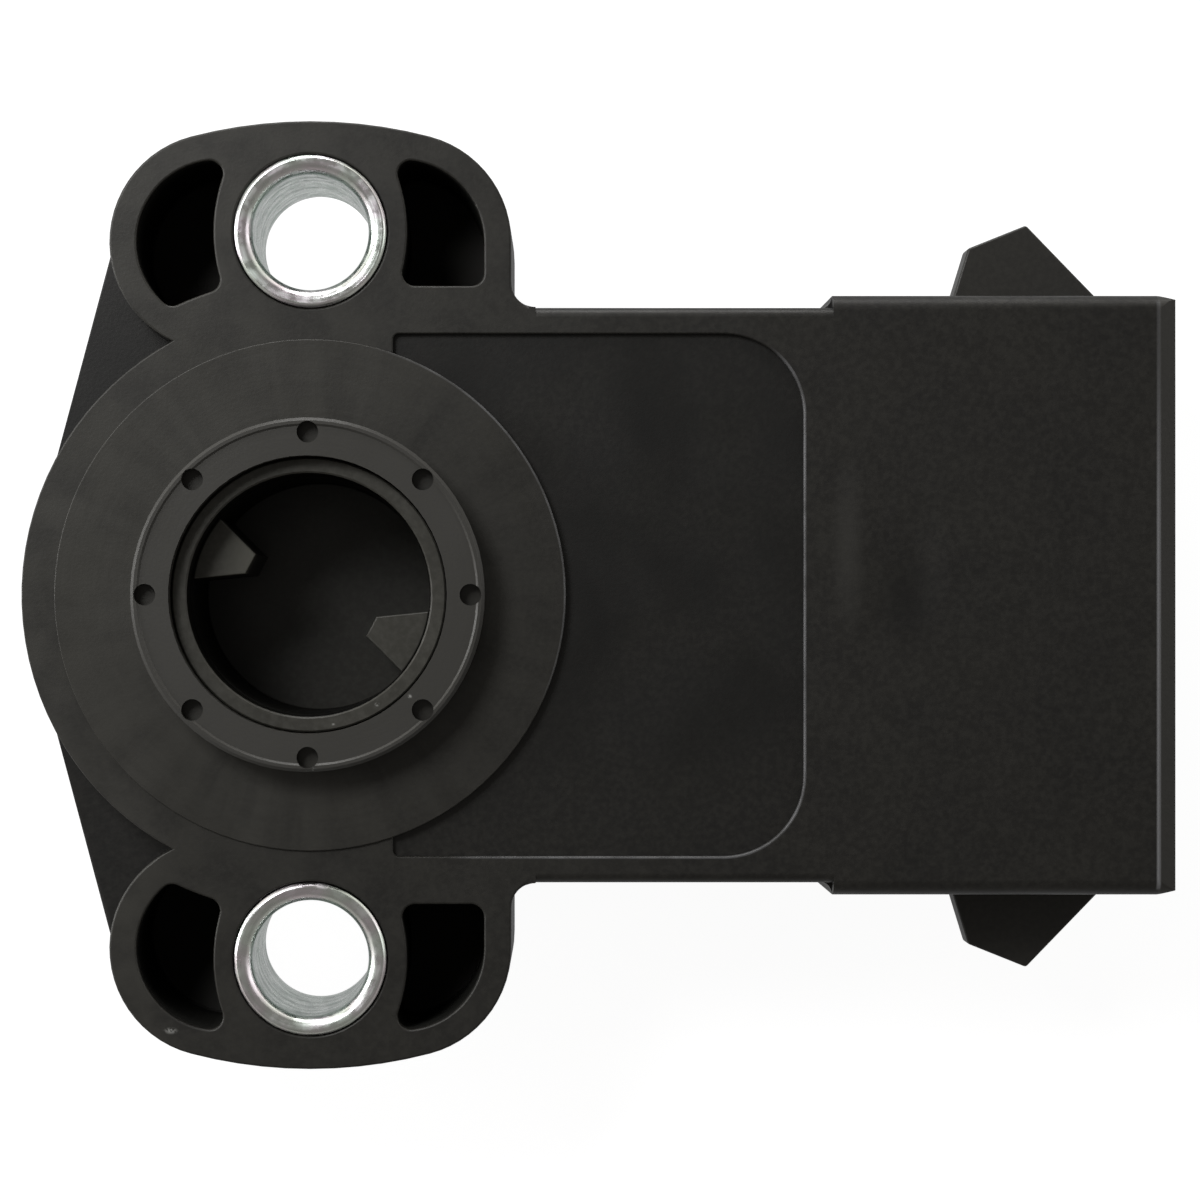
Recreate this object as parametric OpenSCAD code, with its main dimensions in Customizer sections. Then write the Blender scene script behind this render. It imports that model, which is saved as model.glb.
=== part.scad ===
// Throttle position sensor for an engine's throttle body.
// A moulded housing carries two steel sleeves, a three-pin plug socket and a sprung
// cup that the end of the throttle shaft turns against a resistive board.
// The origin is on the cup's axis in the mounting plane. +Z points into the throttle
// body, +X points out of the plug socket, and +Y runs along the line of screw holes.

/* [Mounting ears] */
// Distance between the two screw holes
hole_pitch = 36; // [35:0.5:40]
// Half width of an ear
ear_half_w = 9.95; // [9.6:0.05:11]
// Radius of an ear's rounded corners
ear_corner_r = 5.4; // [5:0.1:6]
// Distance from a screw hole's centre to the ear's outer edge, on the centre line
ear_end = 5.46; // [5:0.01:6.5]
// Draft of an ear's outer walls, as the widening at its back
ear_draft = 0.18; // [0.1:0.02:0.3]
// Radius of the fillet between an ear and the neck
ear_fillet_r = 1.2; // [0.5:0.1:2]
// Depth of the side webs' face below the mounting plane
web_drop = 2.75; // [1.5:0.05:4]

/* [Ear pockets] */
// Wall between a pocket and the ear's outside
pocket_wall = 1.35; // [0.9:0.05:1.6]
// Wall between a pocket and the sleeve
pocket_sleeve_wall = 1; // [0.7:0.05:1.4]
// Radius of the arc that a pocket's wall beside the sleeve follows
pocket_arc_r = 8.2; // [6:0.1:10]
// Rounding of a pocket's corners
pocket_round = 0.65; // [0.2:0.05:0.8]
// Thickness of a pocket's floor
pocket_floor = 1.5; // [1:0.1:3]
// Distance from the screw hole's line to the arched edge of a pocket on the web side
pocket_arch = 2.2; // [1.8:0.1:2.6]
// Distance from the screw hole's line to the flat edge of a pocket on the neck side
pocket_flat = 2.7; // [2.2:0.1:3]

/* [Sleeves] */
// Radius of the screw hole through a sleeve
sleeve_bore_r = 2.85; // [2.6:0.05:3.1]
// Outer radius of a sleeve
sleeve_r = 3.8; // [3.6:0.05:4.1]
// Length of a sleeve
sleeve_len = 9; // [8:0.1:10.5]
// Height that a sleeve stands proud of the ear at each end
sleeve_proud = 0.15; // [0.05:0.05:0.3]
// Size of the bevel at each end of a sleeve's hole
sleeve_bevel = 0.5; // [0.3:0.05:0.6]
// Size of the bevel on a sleeve's outer edges
sleeve_edge = 0.15; // [0.1:0.05:0.3]
// Radius of the space that is kept free behind an ear for the screw head
screw_head_r = 4.9; // [4.5:0.1:5]

/* [Body] */
// Outer radius of the round body
body_r = 14.3; // [14:0.1:15.5]
// Depth of the body from the mounting plane to its back
body_depth = 15; // [14.5:0.1:17]
// Wall between the body's outside and the rotor's chamber
body_wall = 3.3; // [3.1:0.1:3.5]
// Radius of the raised round face that meets the throttle body
disc_r = 12.65; // [12:0.05:13.5]
// Height of that face above the rest of the front
disc_step = 0.15; // [0.1:0.05:0.3]
// Thickness of the front wall under the recess
front_wall = 1.7; // [1.2:0.1:2]

/* [Collar] */
// Height of the pilot collar above the mounting plane
collar_h = 2; // [1.5:0.1:3]
// Wall of the pilot collar
collar_wall = 1.85; // [1.7:0.05:2.2]
// Bevel of the collar's outer edge
collar_bevel = 0.15; // [0.1:0.05:0.3]
// Width of the fine lip round the collar's top
rim_lip_w = 0.3; // [0.2:0.05:0.4]
// Height of that lip
rim_lip_h = 0.1; // [0.05:0.05:0.2]
// Length of the rotor's bearing, from the collar's top
bearing_len = 6; // [5:0.1:6.5]
// Number of dimples in the collar's top
dimple_count = 8; // [4:1:12]
// Radius of a dimple
dimple_r = 0.53; // [0.3:0.01:0.6]
// Depth of a dimple
dimple_depth = 0.8; // [0.3:0.1:1.2]
// Distance from a dimple's centre to the collar's outside
dimple_edge = 0.7; // [0.65:0.05:0.9]

/* [Neck] */
// Half width of the neck between body and socket
neck_half_w = 14.25; // [13.5:0.05:14.3]
// Distance from the cup's axis to the end of the neck
neck_end = 25.9; // [25:0.1:28]
// Rounding of the neck's long edges
neck_edge_r = 0.5; // [0.2:0.1:1]
// Wall between the chamber's far end and the end of the neck
chamber_wall = 4.4; // [4:0.1:5]
// Half width of the shallow recess in the front
recess_half_w = 12.93; // [12:0.01:13]
// Distance from the cup's axis to the recess's far edge
recess_end = 24.42; // [23:0.01:24.5]
// Distance from the cup's axis to the near ends of the recess
recess_start = 4.1; // [3:0.1:6]
// Radius of the recess's far corners
recess_corner_r = 4; // [2:0.05:5]
// Radius of the recess's near corners
recess_near_r = 0.3; // [0.2:0.05:0.5]
// Depth of the recess
recess_depth = 0.35; // [0.2:0.05:0.5]

/* [Plug socket] */
// Half width of the socket's shell
socket_half_w = 14.88; // [14.5:0.02:16]
// Length of the socket's shell beyond the neck
socket_len = 16.95; // [15.5:0.05:20]
// Wall of the socket's shell
socket_wall = 1.5; // [1.2:0.1:1.8]
// Depth of the socket from its mouth
socket_deep = 14.6; // [13:0.1:15]
// Rounding of the shell's long edges
socket_edge_r = 0.8; // [0.4:0.1:1.2]
// Length of the bevelled lip at the mouth
lip_len = 0.87; // [0.5:0.01:1.2]
// Height of that bevel
lip_drop = 0.25; // [0.1:0.05:0.5]
// Height of the two keying ribs on the socket's floor
key_h = 1; // [0.6:0.1:1.4]
// Distance from the mouth to the near end of a keying rib
key_start = 2; // [1:0.1:4]
// Width of a keying rib
key_w = 1.4; // [1:0.1:2]
// Distance from the socket's middle to a keying rib's middle
key_y = 8.5; // [8:0.1:10]

/* [Locking ramps] */
// Distance from the mouth to the foot of a ramp's leading slope
ramp_front = 2.15; // [2:0.05:3.5]
// Distance from the mouth to a ramp's ridge
ramp_ridge = 6.3; // [6:0.05:7]
// Distance from the mouth to a ramp's back edge
ramp_back = 9.3; // [9:0.05:9.6]
// Distance from the mouth to the foot of a ramp's locking face
ramp_foot = 10.25; // [9.9:0.05:11]
// Height of a ramp's ridge above the shell's side
ramp_h = 4.29; // [3:0.01:4.5]
// Height of a ramp's back edge above the shell's side
ramp_back_h = 3.09; // [2:0.01:3.5]
// Width of a ramp
ramp_w = 1.8; // [1.5:0.1:7]

/* [Rotor] */
// Radius of the cup that takes the shaft's end
cup_r = 6; // [5.8:0.05:6.1]
// Wall of the cup inside its bearing
cup_wall = 0.74; // [0.7:0.01:0.9]
// Depth of the cup's rim below the collar's top
rim_drop = 1; // [0.5:0.1:1.5]
// Depth of the drive lugs below the cup's rim
lug_drop = 1.8; // [1.2:0.1:2.5]
// Thickness of the cup's floor
cup_floor = 1.9; // [1.3:0.1:2.4]
// Distance from the axis to a drive lug's nearest corner, across the lugs
lug_tip_x = 2.74; // [2.4:0.01:3]
// Distance from the axis to that corner, along the lugs
lug_tip_y = 2.03; // [1.8:0.01:2.3]
// Distance from the axis to a drive lug's flat side, across the lugs
lug_flat_x = 3.25; // [3.05:0.01:3.6]
// Distance from the axis to that flat side, along the lugs
lug_flat_y = 1.06; // [0.8:0.01:1.3]
// Radius of the shoulder behind the bearing
shoulder_r = 7.3; // [7.1:0.05:7.6]
// Thickness of the flange that carries the brush
flange_t = 1.2; // [0.9:0.1:1.5]
// Radius of the rear pivot
pivot_r = 1.5; // [1.2:0.05:1.8]
// Radius of the boss around the rear pivot
pivot_boss_r = 2.6; // [2.4:0.05:2.8]
// Angle through which the cup turns
travel = 100; // [60:1:110]
// Angular width of the rotor's stop
stop_width = 14; // [8:1:20]

/* [Return spring] */
// Radius of the spring's wire
wire_r = 0.3; // [0.2:0.05:0.35]
// Number of coils
coil_count = 3.6; // [2.6:1:3.6]
// Length of the spring's straight tail
tail_len = 5.9; // [5:0.1:6.1]

/* [Board and brush] */
// Thickness of the resistive board
board_t = 1; // [0.8:0.1:1.2]
// Space between the rotor's flange and the board
brush_space = 1.7; // [1.5:0.1:2]
// Thickness of the brush's sheet
brush_t = 0.2; // [0.15:0.05:0.25]
// Width of one finger of the brush
finger_w = 0.5; // [0.3:0.05:0.6]
// Length of the fingers
finger_len = 3.2; // [2.6:0.1:3.6]
// Width of a printed track
track_w = 1.5; // [1:0.1:1.8]

/* [Terminals] */
// Width of a terminal blade
blade_w = 2.8; // [2:0.1:3.2]
// Thickness of a terminal blade
blade_t = 0.8; // [0.6:0.1:1]
// Distance between neighbouring terminals
blade_pitch = 5; // [4.8:0.1:6]
// Length of a blade inside the socket
blade_len = 8.4; // [7:0.1:10]
// Width of a terminal's tail through the board
tail_w = 1.2; // [0.8:0.1:1.4]

/* [Rear cover] */
// Thickness of the rear cover
cover_t = 1.6; // [1.5:0.1:2]
// Width of the groove that holds the sealing bead
bead_w = 0.8; // [0.6:0.05:0.9]
// Depth of the groove that holds the sealing bead
bead_depth = 0.9; // [0.6:0.05:1]
// Radius of the cover's bearing hub
hub_r = 3; // [2.8:0.05:3.2]

/* [Fits] */
// Running gap between the rotor and its bearings
running_gap = 0.06; // [0.05:0.01:0.1]
// Gap around an insert that is moulded or pressed in
insert_gap = 0.03; // [0.02:0.01:0.05]
// Gap around a part that drops into its seat
seat_gap = 0.1; // [0.05:0.05:0.15]

/* [Hidden] */
$fn = 96;
plastic_black = [0.17, 0.17, 0.175];
rotor_black = [0.23, 0.23, 0.235];
zinc = [0.78, 0.8, 0.78];
spring_steel = [0.55, 0.56, 0.58];
tin = [0.76, 0.76, 0.73];
brush_alloy = [0.8, 0.7, 0.45];
ptfe_white = [0.85, 0.84, 0.8];
board_green = [0.16, 0.33, 0.22];
epoxy_black = [0.07, 0.07, 0.08];
// Overrun that keeps a cut from ending on a face
over = 1;
hole_y = hole_pitch / 2;
ear_reach = hole_y + ear_end;
corner_x = ear_half_w - ear_corner_r;
corner_y = sqrt(pow(ear_reach - ear_corner_r, 2) - pow(corner_x, 2));
front_z = -disc_step;
ear_back_z = -(sleeve_len - sleeve_proud);
recess_z = front_z - recess_depth;
ceiling_z = recess_z - front_wall;
// Journal and bearing
journal_r = cup_r + cup_wall;
bearing_r = journal_r + running_gap;
collar_r = bearing_r + collar_wall;
bearing_end_z = collar_h - bearing_len;
bearing_boss_r = bearing_r + collar_wall;
// Chamber, with a ledge for the board and a wider one for the cover
chamber_r = body_r - body_wall;
chamber_end = neck_end - chamber_wall;
chamber_corner_r = 2;
board_ledge = 0.5;
cover_ledge = 1;
// Stack of parts, counted up from the back face
back_z = -body_depth;
cover_in_z = back_z + cover_t;
peg_gap = 0.6;
board_back_z = cover_in_z + peg_gap;
board_z = board_back_z + board_t;
flange_back_z = board_z + brush_space;
flange_z = flange_back_z + flange_t;
floor_z = flange_back_z + cup_floor;
rim_z = collar_h - rim_drop;
lug_z = rim_z - lug_drop;
// Thrust ring between the bearing's end and the rotor's shoulder
ring_t = 0.5;
ring_play = 0.1;
shoulder_z = bearing_end_z - ring_play - ring_t;
flange_play = 1;
flange_r = chamber_r - flange_play;
spring_r = (shoulder_r + flange_r) / 2;
spring_play = 0.3;
spring_top_z = bearing_end_z - wire_r - ring_t - 0.5 * flange_play;
spring_low_z = flange_z + wire_r + spring_play;
// Rear pivot in the cover's hub
hub_drop = 0.2;
hub_z = board_z - hub_drop;
washer_space = 0.8;
boss_z = hub_z + washer_space;
hub_floor_t = 0.7;
hub_floor_z = back_z + hub_floor_t;
pivot_end_z = hub_floor_z + hub_drop;
// Stops: the rotor's stop rests beside one rib and turns clockwise to the other
stop_angle = 215;
stop_play = 1;
rib_width = 6;
// Direction in which the brush lies at rest
brush_angle = 60;
stake_r = 0.45;
stake_head_r = 0.8;
stake_positions = [5.2, 8.4];
inner_track_r = 6.1;
outer_track_r = 8.3;
track_t = 0.05;
// Socket and terminals
mouth_x = neck_end + socket_len;
socket_floor_x = mouth_x - socket_deep;
blade_z = (front_z + back_z) / 2;
blade_tip_x = socket_floor_x + blade_len;
blade_tip_bevel = 0.6;
shoulder_w = blade_w + 1.2;
shoulder_len = 1.2;
tail_reach = 4.5;
tail_x = chamber_end - tail_reach;
tail_stub = 0.4;
tail_end_z = board_back_z - tail_stub;
terminal_ys = [-blade_pitch, 0, blade_pitch];

// A ring sector between two radii, two angles and two heights
module sector(r_in, r_out, from_angle, to_angle, low_z, high_z) {
    rotate([0, 0, from_angle])
        rotate_extrude(angle = to_angle - from_angle)
            translate([r_in, low_z]) square([r_out - r_in, high_z - low_z]);
}

// A rectangle from x0 to x1 and to half_w on each side, with near corners of r0 and far ones of r1
module round_slab(x0, x1, half_w, r0, r1) {
    translate([x0 + r0, -half_w]) square([x1 - x0 - r0 - r1, 2 * half_w]);
    translate([x1 - r1 - over, -half_w + r1]) square([r1 + over, 2 * half_w - 2 * r1]);
    for (side = [-1, 1]) translate([x1 - r1, side * (half_w - r1)]) circle(r = r1);
    if (r0 > 0) {
        translate([x0, -half_w + r0]) square([r0 + over, 2 * half_w - 2 * r0]);
        for (side = [-1, 1]) translate([x0 + r0, side * (half_w - r0)]) circle(r = r0);
    }
}

// A bar along +X with rounded long edges, between two heights
module long_bar(x0, x1, half_w, low_z, high_z, r) {
    mid_z = (low_z + high_z) / 2;
    half_h = (high_z - low_z) / 2;
    translate([x0, 0, mid_z]) rotate([90, 0, 90]) linear_extrude(height = x1 - x0)
        round_slab(-half_w, half_w, half_h, r, r);
}

// Both halves of something that is the same on each side of the XZ plane
module both_sides() {
    children();
    mirror([0, 1, 0]) children();
}

// One ear: a crown arc about the axis, two round corners, a straight side and its fillet
module ear() {
    h = front_z - ear_back_z;
    translate([0, 0, ear_back_z]) {
        intersection() {
            cylinder(r1 = ear_reach + ear_draft, r2 = ear_reach, h = h);
            linear_extrude(height = h)
                polygon([[0, 0], 2 * [-corner_x, corner_y], 2 * [corner_x, corner_y]]);
        }
        for (side = [-1, 1]) translate([side * corner_x, corner_y, 0])
            cylinder(r1 = ear_corner_r + ear_draft, r2 = ear_corner_r, h = h);
        translate([0, corner_y, 0]) rotate([90, 0, 0]) linear_extrude(height = corner_y)
            polygon([[-corner_x, 0], [ear_half_w + ear_draft, 0], [ear_half_w, h], [-corner_x, h]]);
        translate([ear_half_w, neck_half_w, 0]) linear_extrude(height = h) difference() {
            translate([-over, -over]) square(over + ear_fillet_r);
            translate([ear_fillet_r, ear_fillet_r]) circle(r = ear_fillet_r);
        }
    }
}

// Outline of a side web: the common tangent of the body and an ear's corner
module web_outline() {
    corner = [-corner_x, corner_y];
    reach = norm(corner);
    lean = atan2(corner_y, -corner_x) + acos((body_r - ear_corner_r) / reach);
    outward = [cos(lean), sin(lean)];
    polygon([[0, 0], body_r * outward, corner + ear_corner_r * outward, corner]);
}

// Space that the wall beside a sleeve takes from a pocket: side is -1 on the web side
module sleeve_wall_outline(side) {
    translate([side * (sleeve_r + pocket_sleeve_wall - pocket_arc_r), hole_y])
        circle(r = pocket_arc_r, $fn = 96);
}

// Pocket beside a sleeve, on the web side
module web_pocket() {
    offset(r = pocket_round) offset(delta = -pocket_round) difference() {
        translate([-corner_x, corner_y]) circle(r = ear_corner_r - pocket_wall, $fn = 64);
        sleeve_wall_outline(-1);
        circle(r = hole_y - pocket_arch, $fn = 160);
        translate([0, -over]) square(2 * ear_reach);
    }
}

// Pocket beside a sleeve, on the neck side
module neck_pocket() {
    flat_y = hole_y - pocket_flat;
    offset(r = pocket_round) offset(delta = -pocket_round) difference() {
        union() {
            translate([corner_x, corner_y]) circle(r = ear_corner_r - pocket_wall, $fn = 64);
            translate([0, flat_y]) square([ear_half_w - pocket_wall, corner_y - flat_y]);
        }
        sleeve_wall_outline(1);
        translate([-ear_reach, flat_y - ear_reach]) square([2 * ear_reach, ear_reach]);
        translate([-2 * ear_reach, 0]) square(2 * ear_reach);
    }
}

// Outline of the chamber: a circle that runs on into the neck, grown by a ledge
module chamber_outline(grow) {
    circle(r = chamber_r + grow);
    round_slab(0, chamber_end + grow, chamber_r + grow, 0, chamber_corner_r + grow);
}

// Outline of the recess in the front
module recess_outline() {
    difference() {
        round_slab(recess_start, recess_end, recess_half_w, recess_near_r, recess_corner_r);
        circle(r = disc_r);
    }
}

// A locking ramp on the socket's side
module ramp() {
    foot_y = socket_half_w - socket_wall / 2;
    translate([0, 0, blade_z - ramp_w / 2]) linear_extrude(height = ramp_w) polygon([
        [mouth_x - ramp_foot, foot_y],
        [mouth_x - ramp_foot, socket_half_w],
        [mouth_x - ramp_back, socket_half_w + ramp_back_h],
        [mouth_x - ramp_ridge, socket_half_w + ramp_h],
        [mouth_x - ramp_front, socket_half_w],
        [mouth_x - ramp_front, foot_y]]);
}

// Outer form of the housing, before anything is cut from it
module housing_form() {
    both_sides() {
        ear();
        translate([0, 0, ear_back_z]) linear_extrude(height = -web_drop - ear_back_z) web_outline();
        ramp();
    }
    translate([0, 0, back_z]) cylinder(r = body_r, h = front_z - back_z);
    translate([0, 0, ceiling_z]) cylinder(r = disc_r, h = -ceiling_z);
    translate([0, 0, -over]) rotate_extrude() polygon([
        [0, 0],
        [collar_r, 0],
        [collar_r, collar_h + over - collar_bevel],
        [collar_r - collar_bevel, collar_h + over],
        [collar_r - rim_lip_w, collar_h + over],
        [collar_r - rim_lip_w - rim_lip_h, collar_h + over - rim_lip_h],
        [0, collar_h + over - rim_lip_h]]);
    long_bar(0, neck_end + over, neck_half_w, back_z, front_z, neck_edge_r);
    difference() {
        long_bar(neck_end, mouth_x, socket_half_w, back_z, front_z, socket_edge_r);
        lip_bevel();
    }
    neck_fillets();
}

// Small fillets where the neck runs into the socket's shell
module neck_fillets() {
    r = socket_half_w - neck_half_w;
    both_sides() translate([neck_end, neck_half_w, back_z + over])
        linear_extrude(height = front_z - back_z - 2 * over) difference() {
            translate([-r, -over]) square([r + over, r + over]);
            translate([-r, r]) circle(r = r);
        }
}

// Bevel round the outside of the mouth
module lip_bevel() {
    run = [[-lip_len, 0], [over, lip_drop * (1 + over / lip_len)], [over, -over], [-lip_len, -over]];
    both_sides() translate([mouth_x, socket_half_w, back_z - over])
        linear_extrude(height = body_depth + 2 * over) polygon([for (p = run) [p[0], -p[1]]]);
    for (top = [0, 1]) translate([mouth_x, 0, top ? front_z : back_z]) mirror([0, 0, top])
        rotate([90, 0, 0]) translate([0, 0, -2 * socket_half_w])
            linear_extrude(height = 4 * socket_half_w) polygon([for (p = run) [p[0], p[1]]]);
}

// Inside of the plug socket, with its two keying ribs left standing
module socket_space() {
    half_w = socket_half_w - socket_wall;
    low_z = back_z + socket_wall;
    difference() {
        long_bar(socket_floor_x, mouth_x + over, half_w, low_z, front_z - socket_wall, 1);
        for (y = [-key_y, key_y]) translate([socket_floor_x - over, y - key_w / 2, low_z - over])
            cube([socket_deep - key_start + over, key_w, key_h + over]);
    }
}

// One-piece moulded housing
module housing() {
    color(plastic_black) {
        difference() {
            housing_form();
            // Rotor chamber with its bearing boss, and the ledges for board and cover
            difference() {
                translate([0, 0, back_z - over])
                    linear_extrude(height = ceiling_z - back_z + over) chamber_outline(0);
                translate([0, 0, bearing_end_z]) cylinder(r = bearing_boss_r, h = bearing_len);
            }
            translate([0, 0, back_z - over])
                linear_extrude(height = board_z - back_z + over) chamber_outline(board_ledge);
            translate([0, 0, back_z - over])
                linear_extrude(height = cover_t + over) chamber_outline(cover_ledge);
            translate([0, 0, bearing_end_z - over]) cylinder(r = bearing_r, h = bearing_len + 2 * over);
            // Front recess and the collar's dimples
            translate([0, 0, recess_z]) linear_extrude(height = recess_depth + over) recess_outline();
            for (i = [0:dimple_count - 1]) rotate([0, 0, i * 360 / dimple_count])
                translate([collar_r - dimple_edge, 0, collar_h - dimple_depth])
                    cylinder(r = dimple_r, h = dimple_depth + over);
            // Ears: sleeve holes, pockets and room for the screw heads
            both_sides() {
                translate([0, hole_y, ear_back_z - over])
                    cylinder(r = sleeve_r + insert_gap, h = sleeve_len + 2 * over);
                translate([0, hole_y, back_z - over])
                    cylinder(r = screw_head_r, h = ear_back_z - back_z + over);
                translate([0, 0, ear_back_z + pocket_floor]) linear_extrude(height = sleeve_len) {
                    web_pocket();
                    neck_pocket();
                }
            }
            // Plug socket and the slots that the terminals are pressed through
            socket_space();
            for (y = terminal_ys) translate([chamber_end - over, y, blade_z])
                translate([0, -blade_w / 2 - insert_gap, -blade_t / 2 - insert_gap])
                    cube([socket_floor_x - chamber_end + 2 * over,
                        blade_w + 2 * insert_gap, blade_t + 2 * insert_gap]);
        }
        housing_ribs();
    }
}

// Ribs in the chamber: two stops for the rotor and the post that the spring's tail bears on
module housing_ribs() {
    rest_side = stop_angle + stop_width / 2 + stop_play;
    far_side = stop_angle - travel - stop_width / 2 - stop_play;
    post_w = 1.6;
    post_low_z = spring_top_z - 3 * wire_r;
    rib_play = 0.2;
    for (from = [rest_side, far_side - rib_width])
        sector(flange_r + rib_play, chamber_r + over, from, from + rib_width,
            flange_back_z - rib_play, ceiling_z + over);
    rotate([0, 0, tail_angle()])
        translate([spring_r + wire_r + insert_gap, tail_len - post_w, post_low_z])
            cube([post_w, post_w, ceiling_z - post_low_z + over]);
}

// Steel compression sleeve, bevelled at both ends of its hole
module sleeve(y) {
    color(zinc) translate([0, y, 0]) rotate_extrude() polygon([
        [sleeve_bore_r, -sleeve_bevel],
        [sleeve_bore_r + sleeve_bevel, 0],
        [sleeve_r - sleeve_edge, 0],
        [sleeve_r, -sleeve_edge],
        [sleeve_r, sleeve_edge - sleeve_len],
        [sleeve_r - sleeve_edge, -sleeve_len],
        [sleeve_bore_r + sleeve_bevel, -sleeve_len],
        [sleeve_bore_r, -sleeve_len + sleeve_bevel]]);
}

module upper_sleeve() { sleeve(hole_y); }

module lower_sleeve() { sleeve(-hole_y); }

// The two drive lugs that grip the shaft's flats
module drive_lugs() {
    slope = (cup_r - lug_tip_x) * 1.2;
    flat_lean = 0.1 * (cup_r + over - lug_flat_x);
    low_z = floor_z - cup_floor / 4;
    intersection() {
        translate([0, 0, low_z]) cylinder(r = cup_r + cup_wall / 2, h = lug_z - low_z);
        for (turn = [0, 180]) rotate([0, 0, turn]) translate([0, 0, low_z])
            linear_extrude(height = lug_z - low_z) polygon([
                [-lug_flat_x, lug_flat_y],
                [-lug_tip_x, lug_tip_y],
                [-lug_tip_x - slope, lug_tip_y + slope],
                [-cup_r - over, lug_tip_y],
                [-cup_r - over, lug_flat_y - flat_lean]]);
    }
}

// Rotor: drive cup, journal, spring shoulder, brush flange and rear pivot in one moulding
module rotor() {
    cup_step = 0.1;
    edge = 0.08;
    color(rotor_black) {
        difference() {
            union() {
                rotate_extrude() polygon([
                    [0, pivot_end_z],
                    [pivot_r, pivot_end_z],
                    [pivot_r, boss_z],
                    [pivot_boss_r, boss_z],
                    [pivot_boss_r, flange_back_z],
                    [flange_r, flange_back_z],
                    [flange_r, flange_z],
                    [shoulder_r, flange_z],
                    [shoulder_r, shoulder_z],
                    [journal_r, shoulder_z],
                    [journal_r, rim_z - edge],
                    [journal_r - edge, rim_z],
                    [cup_r + edge, rim_z],
                    [cup_r, rim_z - edge],
                    [cup_r, lug_z],
                    [cup_r - cup_step, lug_z],
                    [cup_r - cup_step, floor_z],
                    [0, floor_z]]);
                sector(flange_r - over, chamber_r - flange_play / 4, stop_angle - stop_width / 2,
                    stop_angle + stop_width / 2, flange_back_z, flange_z);
            }
            rotate([0, 0, leg_angle()]) translate([spring_r, 0, flange_back_z - over])
                cylinder(r = wire_r + seat_gap, h = flange_t + 2 * over);
        }
        drive_lugs();
        brush_stakes();
    }
}

// Heat stakes under the flange that hold the brush
module brush_stakes() {
    head_t = 0.3;
    head_z = flange_back_z - brush_t - head_t;
    rotate([0, 0, brush_angle]) for (x = stake_positions) translate([x, 0, head_z]) {
        cylinder(r = stake_r, h = head_t + brush_t + flange_t / 4);
        cylinder(r = stake_head_r, h = head_t);
    }
}

// PTFE ring that seals and takes the rotor's thrust
module thrust_ring() {
    color(ptfe_white) translate([0, 0, shoulder_z]) difference() {
        cylinder(r = bearing_boss_r - ring_play, h = ring_t);
        translate([0, 0, -over]) cylinder(r = journal_r + running_gap, h = ring_t + 2 * over);
    }
}

// Angles at which the spring's leg goes down and its tail runs off
function leg_angle() = 20;
function tail_angle() = leg_angle() + coil_count * 360;
function radial(a) = [cos(a), sin(a), 0];
function along(a) = [-sin(a), cos(a), 0];

// One ring of the wire's skin: a centre and two directions across the wire
wire_sides = 10;
function wire_ring(centre, u, v) =
    [for (i = [0:wire_sides - 1]) centre
        + wire_r * (cos(i * 360 / wire_sides) * u + sin(i * 360 / wire_sides) * v)];

// Rings of the whole wire: leg, bend, coils and tail
bend_r = 2 * wire_r;
bend_turns = [22.5, 45, 67.5];
coil_steps = 24;
function spring_rings() =
    let (a0 = leg_angle(), first = a0 + atan(bend_r / spring_r), a1 = tail_angle(),
        steps = round(coil_count * coil_steps), foot_z = spring_low_z - bend_r)
    concat(
        [for (z = [flange_back_z + flange_t / 4, foot_z])
            wire_ring(spring_r * radial(a0) + [0, 0, z], radial(a0), along(a0))],
        [for (t = bend_turns)
            wire_ring(spring_r * radial(a0) + bend_r * (1 - cos(t)) * along(a0)
                + [0, 0, foot_z + bend_r * sin(t)],
                radial(a0), cos(t) * along(a0) - [0, 0, sin(t)])],
        [for (i = [0:steps]) let (a = first + (a1 - first) * i / steps)
            wire_ring(spring_r * radial(a)
                + [0, 0, spring_low_z + (spring_top_z - spring_low_z) * i / steps],
                radial(a), [0, 0, -1])],
        [for (s = [0.5, 1]) wire_ring(spring_r * radial(a1) + s * tail_len * along(a1)
            + [0, 0, spring_top_z], radial(a1), [0, 0, -1])]);

// A closed skin over rings that all have the same number of points
module skin(rings) {
    n = len(rings[0]);
    last = len(rings) - 1;
    polyhedron(
        points = [for (ring = rings) for (p = ring) p],
        faces = concat(
            [[for (i = [n - 1:-1:0]) i]],
            [for (k = [0:last - 1], i = [0:n - 1]) [k * n + i, k * n + (i + 1) % n, (k + 1) * n + i]],
            [for (k = [0:last - 1], i = [0:n - 1])
                [k * n + (i + 1) % n, (k + 1) * n + (i + 1) % n, (k + 1) * n + i]],
            [[for (i = [0:n - 1]) last * n + i]]));
}

// Torsion spring that turns the rotor back to its rest
module return_spring() {
    color(spring_steel) skin(spring_rings());
}

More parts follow.
